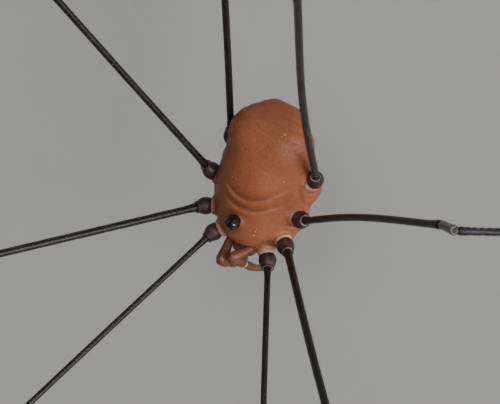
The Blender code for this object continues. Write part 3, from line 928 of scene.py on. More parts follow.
def painted_shade_share(points):
    """How deep each point lies in a fold, along a segment's border or round the knob's foot, for the painted
    shade there.
    """
    share = np.clip(FOLD_SHADE * fold_offset(points) / in_mm("body", "fold_depth"), 0, 1)
    strength, width = BORDER_SHADE
    for border in SEGMENT_BORDERS:
        share = np.maximum(share, strength * bump_curve(past_border(points, border), width))
    knob = np.array(KNOB_FOOT) - (0, 0, KNOB_FOOT_SHADE_SINK)
    around = np.linalg.norm((points - knob) / KNOB_FOOT_SHADE_STRETCH, axis=1)
    return np.maximum(share, KNOB_FOOT_SHADE * (1 - smooth_step(*KNOB_FOOT_SHADE_REACH, around)))


def add_share(data, name, values):
    attribute = data.attributes.new(name, "FLOAT", "POINT")
    attribute.data.foreach_set("value", np.asarray(values, np.float32))


def smoothed_points(data, points, weight, rounds):
    """Points drawn towards the middle of their neighbours, each as far as its weight says."""
    ends = np.empty(len(data.edges) * 2, int)
    data.edges.foreach_get("vertices", ends)
    first, second = ends.reshape(-1, 2).T
    neighbours = np.bincount(ends, minlength=len(points))[:, None]
    for _ in range(rounds):
        total = np.empty_like(points)
        for axis in range(3):
            values = points[:, axis]
            total[:, axis] = np.bincount(first, values[second], len(points))
            total[:, axis] += np.bincount(second, values[first], len(points))
        points = points + weight[:, None] * (total / neighbours - points)
    return points


def flank_shade_share(points):
    """How far each point lies on the flanks and the rear of the abdomen, where a darker red is painted in as
    shade.
    """
    to_side, to_rear = FLANK_SHADE_RANGES
    flank = smooth_step(*to_side, np.abs(points[:, 0])) * smooth_step(*to_rear, points[:, 1])
    return np.maximum(flank, smooth_step(*REAR_SHADE_RANGE, points[:, 1]))


def make_body_skin():
    data = rough_body()
    points = np.empty(len(data.vertices) * 3)
    data.vertices.foreach_get("co", points)
    points = settle_on_skin(points.reshape(-1, 3))
    pale = pale_share(points)
    points = smoothed_points(data, points, SMOOTH_WEIGHT + SMOOTH_PALE_WEIGHT * pale, SMOOTH_ROUNDS)
    slope = skin_slope(points)
    normals = slope / np.linalg.norm(slope, axis=1, keepdims=True)
    points = points - normals * fold_offset(points)[:, None]
    # Share of painted shade in the folds, along the borders and round the knob's foot
    painted_shade = painted_shade_share(points)
    layers = [share * grain_noise(points * stretch, gap, seed) for share, gap, seed, stretch in GRAIN_LAYERS]
    height = in_mm("body", "grain_height") * sum(layers) * (1 - PALE_SMOOTHNESS * pale)
    height += SWELL_HEIGHT * grain_noise(points, SWELL_SPACING, SWELL_SEED)
    points = points + normals * height[:, None]
    data.vertices.foreach_set("co", (points * MM).ravel())
    add_share(data, "pale", pale)
    add_share(data, "painted_shade", painted_shade)
    # Share of painted shade on the flanks and the rear
    add_share(data, "flank", flank_shade_share(points))
    data.materials.clear()
    data.materials.append(cuticle_material())
    data.shade_smooth()
    data.update()
    data.name = "body_skin"
    return place_piece("body_skin", data)


def granule_rows():
    """Small granules in loose rows across the abdomen, in front of each segment's border."""
    draw = np.random.default_rng(GRANULE_SEED)
    scatter = (-GRANULE_SCATTER, GRANULE_SCATTER)
    rows = []
    for y in GRANULE_ROWS:
        for x in np.arange(*GRANULE_ROW_ENDS, GRANULE_STEP):
            across = x + draw.uniform(*scatter)
            along = y - GRANULE_ROW_BEND * x * x + draw.uniform(*scatter)
            radius = draw.uniform(*GRANULE_RADII)
            if draw.uniform() < GRANULES_KEPT:
                rows.append((across, along, GRANULE_START_HEIGHT, radius))
    return rows


def make_granules():
    """Pale granules set into the skin of the back."""
    granules = [*GRANULES, *granule_rows()]
    places = np.array([granule[:3] for granule in granules])
    places = settle_on_skin(places)
    mesh = bmesh.new()
    for place, normal, granule in zip(places, skin_slope(places), granules):
        turn = Vector(unit(normal)).to_track_quat("Z", "Y").to_matrix().to_4x4()
        size = Matrix.Diagonal((*(granule[3] * part for part in GRANULE_SHAPE), 1.0))
        matrix = Matrix.Diagonal((MM, MM, MM, 1.0)) @ Matrix.Translation(place.tolist()) @ turn @ size
        bmesh.ops.create_icosphere(mesh, subdivisions=3, radius=1.0, matrix=matrix)
    data = mesh_from("granules", mesh)
    data.materials.append(granule_material())
    data.shade_smooth()
    return place_piece("skin_granules", data)


# The head

def make_knob():
    """Eye knob: an upright black mound, furrowed along its top, with small teeth on its two ridges."""
    x, y, foot = KNOB_FOOT
    half_width = in_mm("head", "knob_half_width")
    surface = Surface()
    angles = 2 * np.pi * np.arange(KNOB_SIDES) / KNOB_SIDES
    outline = np.full((KNOB_SIDES, 3), foot)
    outline[:, 0] = x + half_width * np.cos(angles)
    outline[:, 1] = y + KNOB_HALF_LENGTH * np.sin(angles)
    base = skin_height(outline) - KNOB_SINK
    dome_start, dome_height, dome_power, dome_top = KNOB_DOME
    side_size, widening, widest_at = KNOB_SWELL
    flare, flare_height, flare_share = KNOB_SKIRT
    spacing, seed, grain_height = KNOB_GRAIN
    rings = []
    for i in range(KNOB_ROWS):
        share = i / (KNOB_ROWS - 1)
        rise = max((share - dome_start) / dome_height, 0)
        dome = math.sqrt(max(1 - rise ** dome_power, dome_top))
        swell = dome * (side_size + widening * min(share / widest_at, 1))
        skirt = flare * math.exp(-share / flare_height)
        ring = np.empty((KNOB_SIDES, 3))
        ring[:, 0] = x + half_width * (swell + skirt) * np.cos(angles)
        ring[:, 1] = y + KNOB_HALF_LENGTH * (swell + skirt * flare_share) * np.sin(angles)
        ring[:, 2] = base + share * (foot + KNOB_HEIGHT - base)
        furrow = bump_curve(ring[:, 0] / half_width, KNOB_FURROW_WIDTH)
        ring[:, 2] -= KNOB_FURROW_DEPTH * (furrow * smooth_step(*KNOB_FURROW_START, share))
        ring += grain_height * grain_noise(ring, spacing, seed)[:, None] * KNOB_GRAIN_SHARES
        rings.append(ring)
    surface.add_rings(rings, [0] * KNOB_ROWS)
    out, up = TOOTH_PLACE
    for side, sign in SIDES.items():
        for ahead in KNOB_TEETH:
            offset = (sign * half_width * out, ahead * KNOB_HALF_LENGTH, KNOB_HEIGHT * up)
            root = np.array(KNOB_FOOT) + offset
            tip = root + mirrored(TOOTH_TIP, side)
            spike(surface, root - (0, 0, TOOTH_ROOT_DEPTH), tip, TOOTH_RADIUS, 0, TOOTH_SIDES)
    return surface.to_object("eye_knob", [knob_material()], KNOB_SMOOTH_ANGLE)


def make_eye(side):
    """Glossy lens in a low dark rim, looking out sideways and a little up."""
    x, y, foot = KNOB_FOOT
    radius = in_mm("head", "eye_radius")
    outward = unit((SIDES[side], EYE_FORWARD, EYE_LIFT))
    ahead, up = EYE_PLACE
    centre = np.array((x, y + ahead, foot + up * KNOB_HEIGHT)) + outward * EYE_SETTING
    across = unit(np.cross(outward, (0, 1, 0)))
    third = np.cross(outward, across)
    angles = 2 * np.pi * np.arange(EYE_SIDES) / EYE_SIDES
    circle = np.cos(angles)[:, None] * across + np.sin(angles)[:, None] * third
    dome = [(EYE_DOME_HEIGHT * math.sin(turn), math.cos(turn)) for turn in np.linspace(*EYE_DOME)]
    rings = []
    for along, reach in (*EYE_RIM, *dome):
        rings.append(centre + outward * along * radius + circle * reach * radius)
    surface = Surface()
    surface.add_rings(rings, [1] * len(EYE_RIM) + [0] * len(dome))
    return surface.to_object("lens_" + side, [eye_material(), knob_material()], LENS_SMOOTH_ANGLE)


def path_between(places, count):
    """Points along straight stretches between places, evenly shared out."""
    places = np.asarray(places, float)
    lengths = lengths_along(places)
    return points_along(places, lengths, np.linspace(0, lengths[-1], count))


def even_profile(rows, count, size, slot):
    """Profile of that many evenly spaced rows from places and radii, the radii multiplied by size."""
    places, radii = np.transpose(rows)
    at = np.linspace(places[0], places[-1], count)
    shares = (at - places[0]) / (places[-1] - places[0])
    return [(share, radius * size, slot) for share, radius in zip(shares, np.interp(at, places, radii))]


def tube_from_profile(surface, path, profile, hint, sides, flatten=None):
    """Tube whose profile has rows of share of the path's length, radius and material; returns its middles."""
    path = np.asarray(path, float)
    lengths = lengths_along(path)
    shares, radii, slots = (np.array(column) for column in zip(*profile))
    centres = points_along(path, lengths, shares * lengths[-1])
    surface.add_rings(tube_rings(centres, radii, sides, hint, flatten), slots.tolist())
    return centres, radii


def add_hairs(surface, centres, radii, hint, coat, slot, draw, sides=3):
    """Rows of fine spines on a tube, leaning to its tip, staggered from row to row.

    The coat gives the rows round the tube, the step in a row, the spines' length and how far they lean.
    """
    rows, step, size, lean = coat
    lengths = lengths_along(centres)
    along, across, third = ring_frames(centres, hint)
    for row in range(rows):
        angle = 2 * np.pi * row / rows
        place = step * (COAT_MARGIN + (row % COAT_STAGGER) / COAT_STAGGER)
        while place < lengths[-1] - step * COAT_MARGIN:
            spot = place + draw.uniform(-HAIR_SCATTER, HAIR_SCATTER) * step
            turn = angle + draw.uniform(-HAIR_TURN, HAIR_TURN)
            radius = np.interp(spot, lengths, radii)
            near = min(int(np.searchsorted(lengths, spot)), len(lengths) - 1)
            outward = across[near] * math.cos(turn) + third[near] * math.sin(turn)
            root = points_along(centres, lengths, spot) + outward * radius * HAIR_ROOT_SHARE
            reach = size * draw.uniform(*HAIR_LENGTHS)
            tip = root + outward * reach * (1 - lean * HAIR_LEAN_LOSS) + along[near] * reach * lean
            spike(surface, root, tip, size * HAIR_THICKNESS, slot, sides)
            place += step


def head_materials():
    return [palp_material(), membrane_material(), hair_material(), claw_material()]


def make_palp(side):
    """Folded pedipalp: a club-shaped femur, a round knee, a short tibia, a pale joint and the tarsus."""
    base, knee, wrist, tip = (np.array(place) for place in PALP_JOINTS[side])
    draw = np.random.default_rng(PALP_SEED + SIDES[side])
    surface = Surface()
    before, after = PALP_KNEE
    bend = knee + unit(knee - base) * before + unit(knee - wrist) * after
    inside = base + mirrored(PALP_ROOT, side) * PALP_START
    before, after = PALP_KNEE_SHARES
    rising = knee * (1 - before) + base * before
    falling = knee * (1 - after) + wrist * after
    count, rows, sides = PALP_LIMB_MESH
    path = rounded_path((inside, base, rising, bend, falling, wrist), count)
    thick = PALP_THICKNESS[side]
    profile = even_profile(PALP_LIMB, rows, thick, HEAD_SKIN)
    centres, radii = tube_from_profile(surface, path, profile, PALP_ACROSS, sides)
    bare = PALP_BARE_ROWS
    add_hairs(surface, centres[bare:], radii[bare:], PALP_ACROSS, PALP_LIMB_HAIRS, HEAD_HAIR, draw)
    before, after = PALP_JOINT_REACH
    joint = [wrist - unit(wrist - knee) * before, wrist + unit(tip - wrist) * after]
    skin = [(share, radius * thick, HEAD_MEMBRANE) for share, radius in PALP_WRIST]
    count, rows, sides = PALP_TARSUS_MESH
    tube_from_profile(surface, joint, skin, PALP_ACROSS, sides)
    start = wrist + unit(tip - wrist) * PALP_TARSUS_START
    droop = (start + tip) / 2 + np.array(PALP_DROOP)
    path = rounded_path((start, droop, tip), count)
    profile = even_profile(PALP_TARSUS, rows, thick, HEAD_SKIN)
    centres, radii = tube_from_profile(surface, path, profile, PALP_ACROSS, sides)
    bare = PALP_TARSUS_BARE_ROWS
    add_hairs(surface, centres[bare:], radii[bare:], PALP_ACROSS, PALP_TARSUS_HAIRS, HEAD_HAIR, draw)
    add_claw(surface, tip, unit(tip - droop), *PALP_CLAW_SIZE, HEAD_CLAW)
    return surface.to_object("palp_" + side, head_materials(), LIMB_SMOOTH_ANGLE)


def rounded_path(places, count):
    """Rounded curve through the first and last place, drawn towards those between."""
    places = np.asarray(places, float)
    even = path_between(places, count)
    weights = np.array(ROUNDING_WEIGHTS) / sum(ROUNDING_WEIGHTS)
    for _ in range(6):
        padded = np.pad(even, ((2, 2), (0, 0)), mode="edge")
        smoothed = sum(weights[i] * padded[i:i + count] for i in range(5))
        smoothed[0] = places[0]
        smoothed[-1] = places[-1]
        even = smoothed
    return even


def add_claw(surface, root, along, size, radius, slot):
    """Small hooked claw that curves down from the end of a leg or palp."""
    path = []
    radii = []
    for i in range(CLAW_ROWS):
        share = i / (CLAW_ROWS - 1)
        ahead = along * size * share * (1 - CLAW_SHORTENING * share)
        place = root + ahead - UP * size * CLAW_HOOK * share ** 2
        place[2] = max(place[2], floor_level() + radius * (1 - share) + CLAW_LIFT)
        path.append(place)
        radii.append(radius * (1 - share) ** CLAW_THINNING + CLAW_TIP_RADIUS)
    hint = np.cross(along, UP) + (0.001, 0, 0)
    surface.add_rings(tube_rings(path, radii, CLAW_SIDES, hint), [slot] * CLAW_ROWS)


def make_jaw(side):
    """Jaw: a stout segment under the front edge, a hanging one, and two fingers with dark ends."""
    x, y, z = mirrored(JAW_PLACE, side)
    draw = np.random.default_rng(JAW_SEED + SIDES[side])
    surface = Surface()
    hint = (1.0, 0.0, 0.0)
    shoulder, elbow, heel, fork = (np.array((x * out, y + back, z + up)) for out, back, up in JAW_JOINTS)
    base_points, hand_points, finger_points = JAW_PATH_POINTS
    segment = [(share, radius, HEAD_SKIN) for share, radius in JAW_BASE]
    tube_from_profile(surface, path_between((shoulder, elbow), base_points), segment, hint, JAW_SIDES)
    segment = [(share, radius, HEAD_SKIN) for share, radius in JAW_HAND]
    path = rounded_path((elbow + np.array(JAW_HAND_START), heel, fork), hand_points)
    centres, radii = tube_from_profile(surface, path, segment, hint, JAW_SIDES, JAW_FLATTENING)
    add_hairs(surface, centres, radii * JAW_HAIR_SINK, hint, JAW_HAIRS, HEAD_HAIR, draw)
    for outward, reach in JAW_FINGERS:
        root = fork + np.array((outward, 0, JAW_FINGER_HEIGHT))
        bends = [root + np.array((outward * out, back, up * reach)) for out, back, up in JAW_FINGER_BENDS]
        path = rounded_path((root, *bends), finger_points)
        tube_from_profile(surface, path, JAW_FINGER, hint, JAW_FINGER_SIDES)
    return surface.to_object("jaw_" + side, head_materials(), LIMB_SMOOTH_ANGLE)


# The legs

def heading(side, degrees):
    """Level direction that many degrees from straight ahead, out to the given side."""
    angle = math.radians(degrees)
    return np.array((SIDES[side] * math.sin(angle), -math.cos(angle), 0.0))


def slanted(level, rise):
    """Level direction raised by that many degrees."""
    angle = math.radians(rise)
    return level * math.cos(angle) + UP * math.sin(angle)


def turned_level(level, degrees):
    """Level direction turned by that many degrees."""
    cosine, sine = math.cos(math.radians(degrees)), math.sin(math.radians(degrees))
    x, y, _ = level
    return np.array((x * cosine - y * sine, x * sine + y * cosine, 0.0))


def leg_joints(side, pair):
    """Joints of a leg from the trochanter to the start of the tarsus, its last heading and its fall."""
    femur, patella, tibia, metatarsus, _ = SEGMENT_LENGTHS[pair]
    aim, rise = FEMUR_AIMS[side][pair]
    turn = KNEE_TURNS[side][pair]
    level = heading(side, aim + turn)
    joints = [trochanter_middle(side, pair)]
    joints.append(joints[-1] + slanted(heading(side, aim), rise) * femur)
    joints.append(joints[-1] + slanted(heading(side, aim + turn / 3), PATELLA_RISES[side][pair]) * patella)
    joints.append(joints[-1] + slanted(level, -TIBIA_FALLS[side][pair]) * tibia)
    drop = joints[-1][2] - floor_level() - TARSUS_START_HEIGHT
    fall = math.degrees(math.asin(min(drop / metatarsus, STEEPEST_FALL)))
    joints.append(joints[-1] + slanted(level, -fall) * metatarsus)
    return joints, level, fall


def tarsus_path(side, pair, start, level, fall, count):
    """The last part of a leg comes down steeply and then lies along the floor."""
    length = SEGMENT_LENGTHS[pair][4]
    thick = in_mm("legs", "tarsus_radius")
    lowest = floor_level() + thick * TARSUS_TAPER * TARSUS_CLEARANCE
    drop = start[2] - lowest
    settle_length = length * (1 - FLOOR_TOUCH_SHARE)
    power = settle_length * math.sin(math.radians(fall)) / drop
    step = length / (count - 1)
    place = start.copy()
    path = [place]
    for i in range(1, count):
        share = i / (count - 1)
        settle = min(share / (1 - FLOOR_TOUCH_SHARE), 1.0)
        radius = thick * (1 + (TARSUS_TAPER - 1) * share)
        height = floor_level() + radius + (drop - (radius - thick * TARSUS_TAPER)) * (1 - settle) ** power
        least = (step * TARSUS_LEAST_STEP) ** 2
        level_step = math.sqrt(max(step ** 2 - (path[-1][2] - height) ** 2, least))
        place = path[-1] + turned_level(level, TARSUS_TURNS[side][pair] * share) * level_step
        place[2] = height
        path.append(place)
    return path


def trochanter_path(side, pair, count):
    """From inside the coxa, through the bulb, to the base of the femur."""
    centre = trochanter_middle(side, pair)
    back = coxa_line(side, pair)[2]
    aim, rise = FEMUR_AIMS[side][pair]
    along = slanted(heading(side, aim), rise)
    path = []
    for place in np.linspace(BULB_PROFILE[0][0], BULB_PROFILE[-1][0], count):
        forward = 0.5 * (place + math.sqrt(place ** 2 + BULB_BEND ** 2))
        path.append(centre + along * forward + back * (place - forward))
    return path, centre + along * BULB_PROFILE[-1][0]


def add_bulb(surface, side, pair):
    """Goblet-shaped trochanter in a soft pale collar, with a pale ring in the rolled rim of its far end."""
    bulb_radius = in_mm("legs", "bulb_radius")
    path, end = trochanter_path(side, pair, BULB_PATH_POINTS)
    hint = heading(side, FEMUR_AIMS[side][pair][0] + 90)
    profile = even_profile(BULB_PROFILE, BULB_ROWS, bulb_radius, BULB)
    centres, radii = tube_from_profile(surface, path, profile, hint, BULB_SIDES)
    draw = np.random.default_rng(BULB_SEED + pair * 2 + SIDES[side])
    hairy = slice(*BULB_HAIRY_ROWS)
    add_hairs(surface, centres[hairy], radii[hairy], hint, BULB_HAIRS, SPINE, draw)
    first, last = BULB_PROFILE[0][0], BULB_PROFILE[-1][0]
    for (place, size, thickness), slot in zip((*COLLARS, RIM), (MEMBRANE, MEMBRANE, BULB)):
        at = int(round((place - first) / (last - first) * (len(path) - 1)))
        along = unit(path[min(at + 2, len(path) - 1)] - path[max(at - 2, 0)])
        add_ring(surface, path[at], along, size * bulb_radius, thickness, slot)
    return end


def add_ring(surface, centre, axis, ring_radius, thickness, slot, sides=36, rounds=10):
    """Rounded ring, closed on itself."""
    across, third = directions_across(axis)
    points = []
    for i in range(sides):
        turn = 2 * np.pi * i / sides
        outward = across * math.cos(turn) + third * math.sin(turn)
        for j in range(rounds):
            roll = 2 * np.pi * j / rounds
            reach = ring_radius + thickness * math.cos(roll)
            points.append(centre + outward * reach + axis * thickness * math.sin(roll))
    faces = []
    for i in range(sides):
        for j in range(rounds):
            k = (i + 1) % sides
            m = (j + 1) % rounds
            faces.append((i * rounds + j, i * rounds + m, k * rounds + m, k * rounds + j))
    surface.add(points, faces, slot)


def segment_profile(length, near_radius, far_radius, slot, ends, draw):
    """Rows of a leg segment: a narrow start, a slightly uneven shaft and a thicker far end."""
    start_rows, end_rows = ends
    rows = [(place, near_radius * size) for place, size in start_rows]
    first = start_rows[-1][0] + SHAFT_STEP
    last = length - end_rows[0][0] - SHAFT_STEP
    for place in np.arange(first, last, SHAFT_STEP):
        share = place / length
        size = near_radius + (far_radius - near_radius) * share
        rows.append((place, size * (1 + draw.uniform(-SHAFT_UNEVENNESS, SHAFT_UNEVENNESS))))
    rows += [(length - place, far_radius * size) for place, size in end_rows]
    return [(place / length, radius, slot) for place, radius in rows]


def ringed_profile(length, near_radius, far_radius, ring_step, slot):
    """Rows of a tarsus: one short cone after another with a narrow waist between."""
    count = int(length / ring_step)
    rows = []
    for i in range(count):
        for part, size in TARSUS_RING:
            share = (i + part) / count
            radius = near_radius + (far_radius - near_radius) * share
            rows.append((share, radius * size, slot))
    rows.append((1.0, far_radius * 0.5, slot))
    return rows


def make_leg(side, pair):
    """One whole leg, from the trochanter on its coxa to the claw on the floor."""
    joints, level, fall = leg_joints(side, pair)
    draw = np.random.default_rng(LEG_SEED + 10 * pair + SIDES[side])
    sides = settings("legs").sides
    surface = Surface()
    joints[0] = add_bulb(surface, side, pair)
    radius = in_mm("legs", "femur_radius")
    for i, (name, slot, near, far, ends) in enumerate(SHAFTS):
        start, end = joints[i], joints[i + 1]
        along = unit(end - start)
        hint = np.cross(along, UP)
        near_gap = 0.0 if name == "femur" else JOINT_OPENING
        first = start + along * near_gap
        last = end - along * JOINT_OPENING
        path = path_between((first, last), SHAFT_PATH_POINTS)
        if name == "femur":
            share = np.linspace(0, 1, SHAFT_PATH_POINTS)[:, None]
            rise, decline = BOW_POWERS
            path = path + np.array(FEMUR_BOWS[side][pair]) * share ** rise * (1 - share) ** decline / BOW_PEAK
        length = np.linalg.norm(last - first)
        near, far = near * FEMUR_THICKNESS[pair], far * FEMUR_THICKNESS[pair]
        profile = segment_profile(length, radius * near, radius * far, slot, ends, draw)
        centres, radii = tube_from_profile(surface, path, profile, hint, sides)
        if name in ("femur", "patella"):
            rows, size, lean = LEG_SPINES
            spines = (rows, in_mm("legs", "spine_step"), size, lean)
            add_hairs(surface, centres, radii, hint, spines, SPINE, draw, 4)
        else:
            add_hairs(surface, centres, radii, hint, TIBIA_HAIRS, HAIR, draw)
        if i:
            before = start - unit(start - joints[i - 1]) * JOINT_REACH
            bend = rounded_path((before, start, start + along * JOINT_REACH), JOINT_PATH_POINTS)
            steps = len(JOINT_SKIN) - 1
            rows = [(j / steps, radius * size * near, PATELLA) for j, size in enumerate(JOINT_SKIN)]
            tube_from_profile(surface, bend, rows, hint, sides)
    foot_start = joints[-1] + slanted(level, -fall) * JOINT_OPENING
    path = tarsus_path(side, pair, foot_start, level, fall, TARSUS_PATH_POINTS)
    thick = in_mm("legs", "tarsus_radius")
    hint = np.cross(level, UP)
    profile = ringed_profile(SEGMENT_LENGTHS[pair][4], thick, thick * TARSUS_TAPER, TARSUS_RING_STEP, FOOT)
    centres, radii = tube_from_profile(surface, path, profile, hint, TARSUS_SIDES)
    hairy = slice(-TARSUS_BARE_ROWS)
    add_hairs(surface, centres[hairy], radii[hairy] * TARSUS_HAIR_SINK, hint, TARSUS_HAIRS, HAIR, draw)
    before = joints[-1] - slanted(level, -fall) * ANKLE_REACH
    bend = rounded_path((before, joints[-1], path[2]), ANKLE_PATH_POINTS)
    steps = len(ANKLE_SKIN) - 1
    rows = [(j / steps, thick * size, MEMBRANE) for j, size in enumerate(ANKLE_SKIN)]
    tube_from_profile(surface, bend, rows, hint, TARSUS_SIDES)
    claw_radius = thick * TARSUS_TAPER * LEG_CLAW_SHARE
    add_claw(surface, path[-1], unit(path[-1] - path[-3]), LEG_CLAW_LENGTH, claw_radius, CLAW)
    materials = [
        bulb_material(), femur_material(), membrane_material(), patella_material(), slate_material(),
        foot_material(), spine_material(), claw_material(), hair_material(),
    ]
    return surface.to_object(f"leg_{side}_{pair + 1}", materials, LIMB_SMOOTH_ANGLE)


# Materials

def add_node(tree, kind, values=None, **options):
    """Node with its options set; each value is a number, a colour or the socket that feeds it."""
    node = tree.nodes.new(kind)
    for name, option in options.items():
        setattr(node, name, option)
    for name, value in (values or {}).items():
        if isinstance(value, bpy.types.NodeSocket):
            tree.links.new(value, node.inputs[name])
        else:
            node.inputs[name].default_value = value
    return node


def opaque(value):
    """Colour with its alpha, or the socket that gives one."""
    return value if isinstance(value, bpy.types.NodeSocket) else (*value[:3], 1.0)


def mixed(tree, share, first, second):
    """Mix of two colours; each may be a socket."""
    values = {MIX_SHARE: share, MIX_FIRST: opaque(first), MIX_SECOND: opaque(second)}
    return add_node(tree, "ShaderNodeMix", values, data_type="RGBA", clamp_factor=True).outputs[MIX_RESULT]


def maths(tree, operation, first, second=0.0, third=0.0):
    return add_node(tree, "ShaderNodeMath", {0: first, 1: second, 2: third}, operation=operation).outputs[0]


def laid_over(tree, base, mask, strength, tint):
    """Colour laid over another where a mask says, at most at that strength."""
    return mixed(tree, maths(tree, "MULTIPLY", mask, strength), base, tint)


def ranged(tree, value, low, high, out_low=0.0, out_high=1.0):
    values = {"Value": value, "From Min": low, "From Max": high, "To Min": out_low, "To Max": out_high}
    return add_node(tree, "ShaderNodeMapRange", values, interpolation_type="SMOOTHSTEP").outputs[0]


def attribute(tree, name):
    node = add_node(tree, "ShaderNodeAttribute", attribute_name=name, attribute_type="GEOMETRY")
    return node.outputs["Fac"]


def object_place(tree):
    return add_node(tree, "ShaderNodeTexCoord").outputs["Object"]


def new_group(name, inputs, outputs):
    """Empty node group with its sockets; returns the group and its two end nodes."""
    group = bpy.data.node_groups.new(name, "ShaderNodeTree")
    for label, kind, default in inputs:
        socket = group.interface.new_socket(name=label, in_out="INPUT", socket_type="NodeSocket" + kind)
        if default is not None:
            socket.default_value = default
    for label, kind in outputs:
        group.interface.new_socket(name=label, in_out="OUTPUT", socket_type="NodeSocket" + kind)
    return group, group.nodes.new("NodeGroupInput"), group.nodes.new("NodeGroupOutput")


def build_grain(name):
    """Pebbled skin: rounded grains with finer ones between, and thin creases that run one way; also a share
    for painted shade in the crevices between the grains.
    """
    group, given, result = new_group(name, (
        ("Place", "Vector", None),
        ("Grains per metre", "Float", 9000.0),
        ("Crease share", "Float", 0.4),
        ("Crease stretch", "Vector", (0.25, 1.0, 0.4)),
    ), (("Height", "Float"), ("Crevice shade", "Float")))
    scale = given.outputs["Grains per metre"]
    place = given.outputs["Place"]
    pebbles = add_node(group, "ShaderNodeTexVoronoi", {"Vector": place, "Scale": scale}, feature="SMOOTH_F1")
    pebbles.inputs["Smoothness"].default_value = 0.6
    fine = add_node(group, "ShaderNodeTexNoise", {
        "Vector": place, "Scale": maths(group, "MULTIPLY", scale, 2.3), "Detail": 3.0,
    })
    stretch = {0: place, 1: given.outputs["Crease stretch"]}
    creases = add_node(group, "ShaderNodeTexNoise", {
        "Vector": add_node(group, "ShaderNodeVectorMath", stretch, operation="MULTIPLY").outputs[0],
        "Scale": maths(group, "MULTIPLY", scale, 0.9), "Detail": 2.0, "Distortion": 0.4,
    })
    domes = maths(group, "SUBTRACT", 1.0, pebbles.outputs["Distance"])
    height = maths(group, "MULTIPLY_ADD", fine.outputs[0], 0.35, domes)
    height = maths(group, "MULTIPLY_ADD", creases.outputs[0], given.outputs["Crease share"], height)
    group.links.new(height, result.inputs["Height"])
    # Share of painted shade in the crevices between the grains
    group.links.new(ranged(group, pebbles.outputs["Distance"], 0.35, 0.75), result.inputs["Crevice shade"])
    return group


def build_mottle(name):
    """Cloudy patches and smaller blotches, from 0 to 1."""
    group, given, result = new_group(name, (
        ("Place", "Vector", None),
        ("Patches per metre", "Float", 900.0),
        ("Contrast", "Float", 0.5),
    ), (("Share", "Float"),))
    clouds = add_node(group, "ShaderNodeTexNoise", {
        "Vector": given.outputs["Place"], "Scale": given.outputs["Patches per metre"],
        "Detail": 5.0, "Roughness": 0.6,
    })
    centred = maths(group, "SUBTRACT", clouds.outputs[0], 0.5)
    steepness = maths(group, "MULTIPLY", given.outputs["Contrast"], 6.0)
    widened = maths(group, "MULTIPLY_ADD", centred, steepness, 0.5)
    clamped = add_node(group, "ShaderNodeClamp", {"Value": widened})
    group.links.new(clamped.outputs[0], result.inputs["Share"])
    return group


def build_specks(name):
    """Small round specks, strewn thinly."""
    group, given, result = new_group(name, (
        ("Place", "Vector", None),
        ("Cells per metre", "Float", 4000.0),
        ("Size", "Float", 0.16),
        ("Kept share", "Float", 0.12),
    ), (("Speck", "Float"),))
    cells = add_node(group, "ShaderNodeTexVoronoi", {
        "Vector": given.outputs["Place"], "Scale": given.outputs["Cells per metre"],
    })
    separate = add_node(group, "ShaderNodeSeparateColor", {"Color": cells.outputs["Color"]})
    kept = maths(group, "LESS_THAN", separate.outputs[0], given.outputs["Kept share"])
    uneven = maths(group, "MULTIPLY_ADD", separate.outputs[1], 0.7, 0.5)
    size = maths(group, "MULTIPLY", given.outputs["Size"], uneven)
    inside = ranged(group, maths(group, "DIVIDE", cells.outputs["Distance"], size), 1.0, 0.55)
    group.links.new(maths(group, "MULTIPLY", inside, kept), result.inputs["Speck"])
    return group


def placed_group(tree, name, build, values):
    """Node group of that name, built at its first use and fed with the place on the object."""
    group = bpy.data.node_groups.get(name) or build(name)
    return add_node(tree, "ShaderNodeGroup", {"Place": object_place(tree), **values}, node_tree=group)


def grain(tree, per_metre, crease=0.4, stretch=(0.25, 1.0, 0.4)):
    return placed_group(tree, "Skin grain", build_grain, {
        "Grains per metre": per_metre, "Crease share": crease, "Crease stretch": stretch,
    })


def mottle(tree, per_metre, contrast=0.5):
    values = {"Patches per metre": per_metre, "Contrast": contrast}
    return placed_group(tree, "Mottle", build_mottle, values).outputs["Share"]


def patchy(tree, per_metre, contrast, low, high):
    """Roughness that changes between two values in patches."""
    return ranged(tree, mottle(tree, per_metre, contrast), 0.0, 1.0, low, high)


def specks(tree, per_metre, size, kept):
    values = {"Cells per metre": per_metre, "Size": size, "Kept share": kept}
    return placed_group(tree, "Specks", build_specks, values).outputs["Speck"]


def finished(name, paint):
    """Material of that name; paint(tree) gives colour, roughness, bump height and depth, and plain values."""
    material = bpy.data.materials.get(name)
    if material:
        return material
    material = bpy.data.materials.new(name)
    material.use_nodes = True
    tree = material.node_tree
    shader = tree.nodes["Principled BSDF"]
    base, roughness, height, depth, plain = paint(tree)
    tree.links.new(base, shader.inputs["Base Color"])
    tree.links.new(roughness, shader.inputs["Roughness"])
    if height is not None:
        bump = add_node(tree, "ShaderNodeBump", {"Height": height, "Distance": depth * MM, "Strength": 1.0})
        tree.links.new(bump.outputs[0], shader.inputs["Normal"])
    for socket, value in plain.items():
        shader.inputs[socket].default_value = value
    return material


def shade(tint, share):
    """Lighter or darker shade of a colour."""
    return [part * share for part in tint]


def soft_tissue(weight, depth):
    """Plain shader values for light that sinks into skin that deep, in millimetres."""
    return {
        "Subsurface Weight": weight, "Subsurface Radius": FLESH_DEPTHS, "Subsurface Scale": depth * MM,
    }


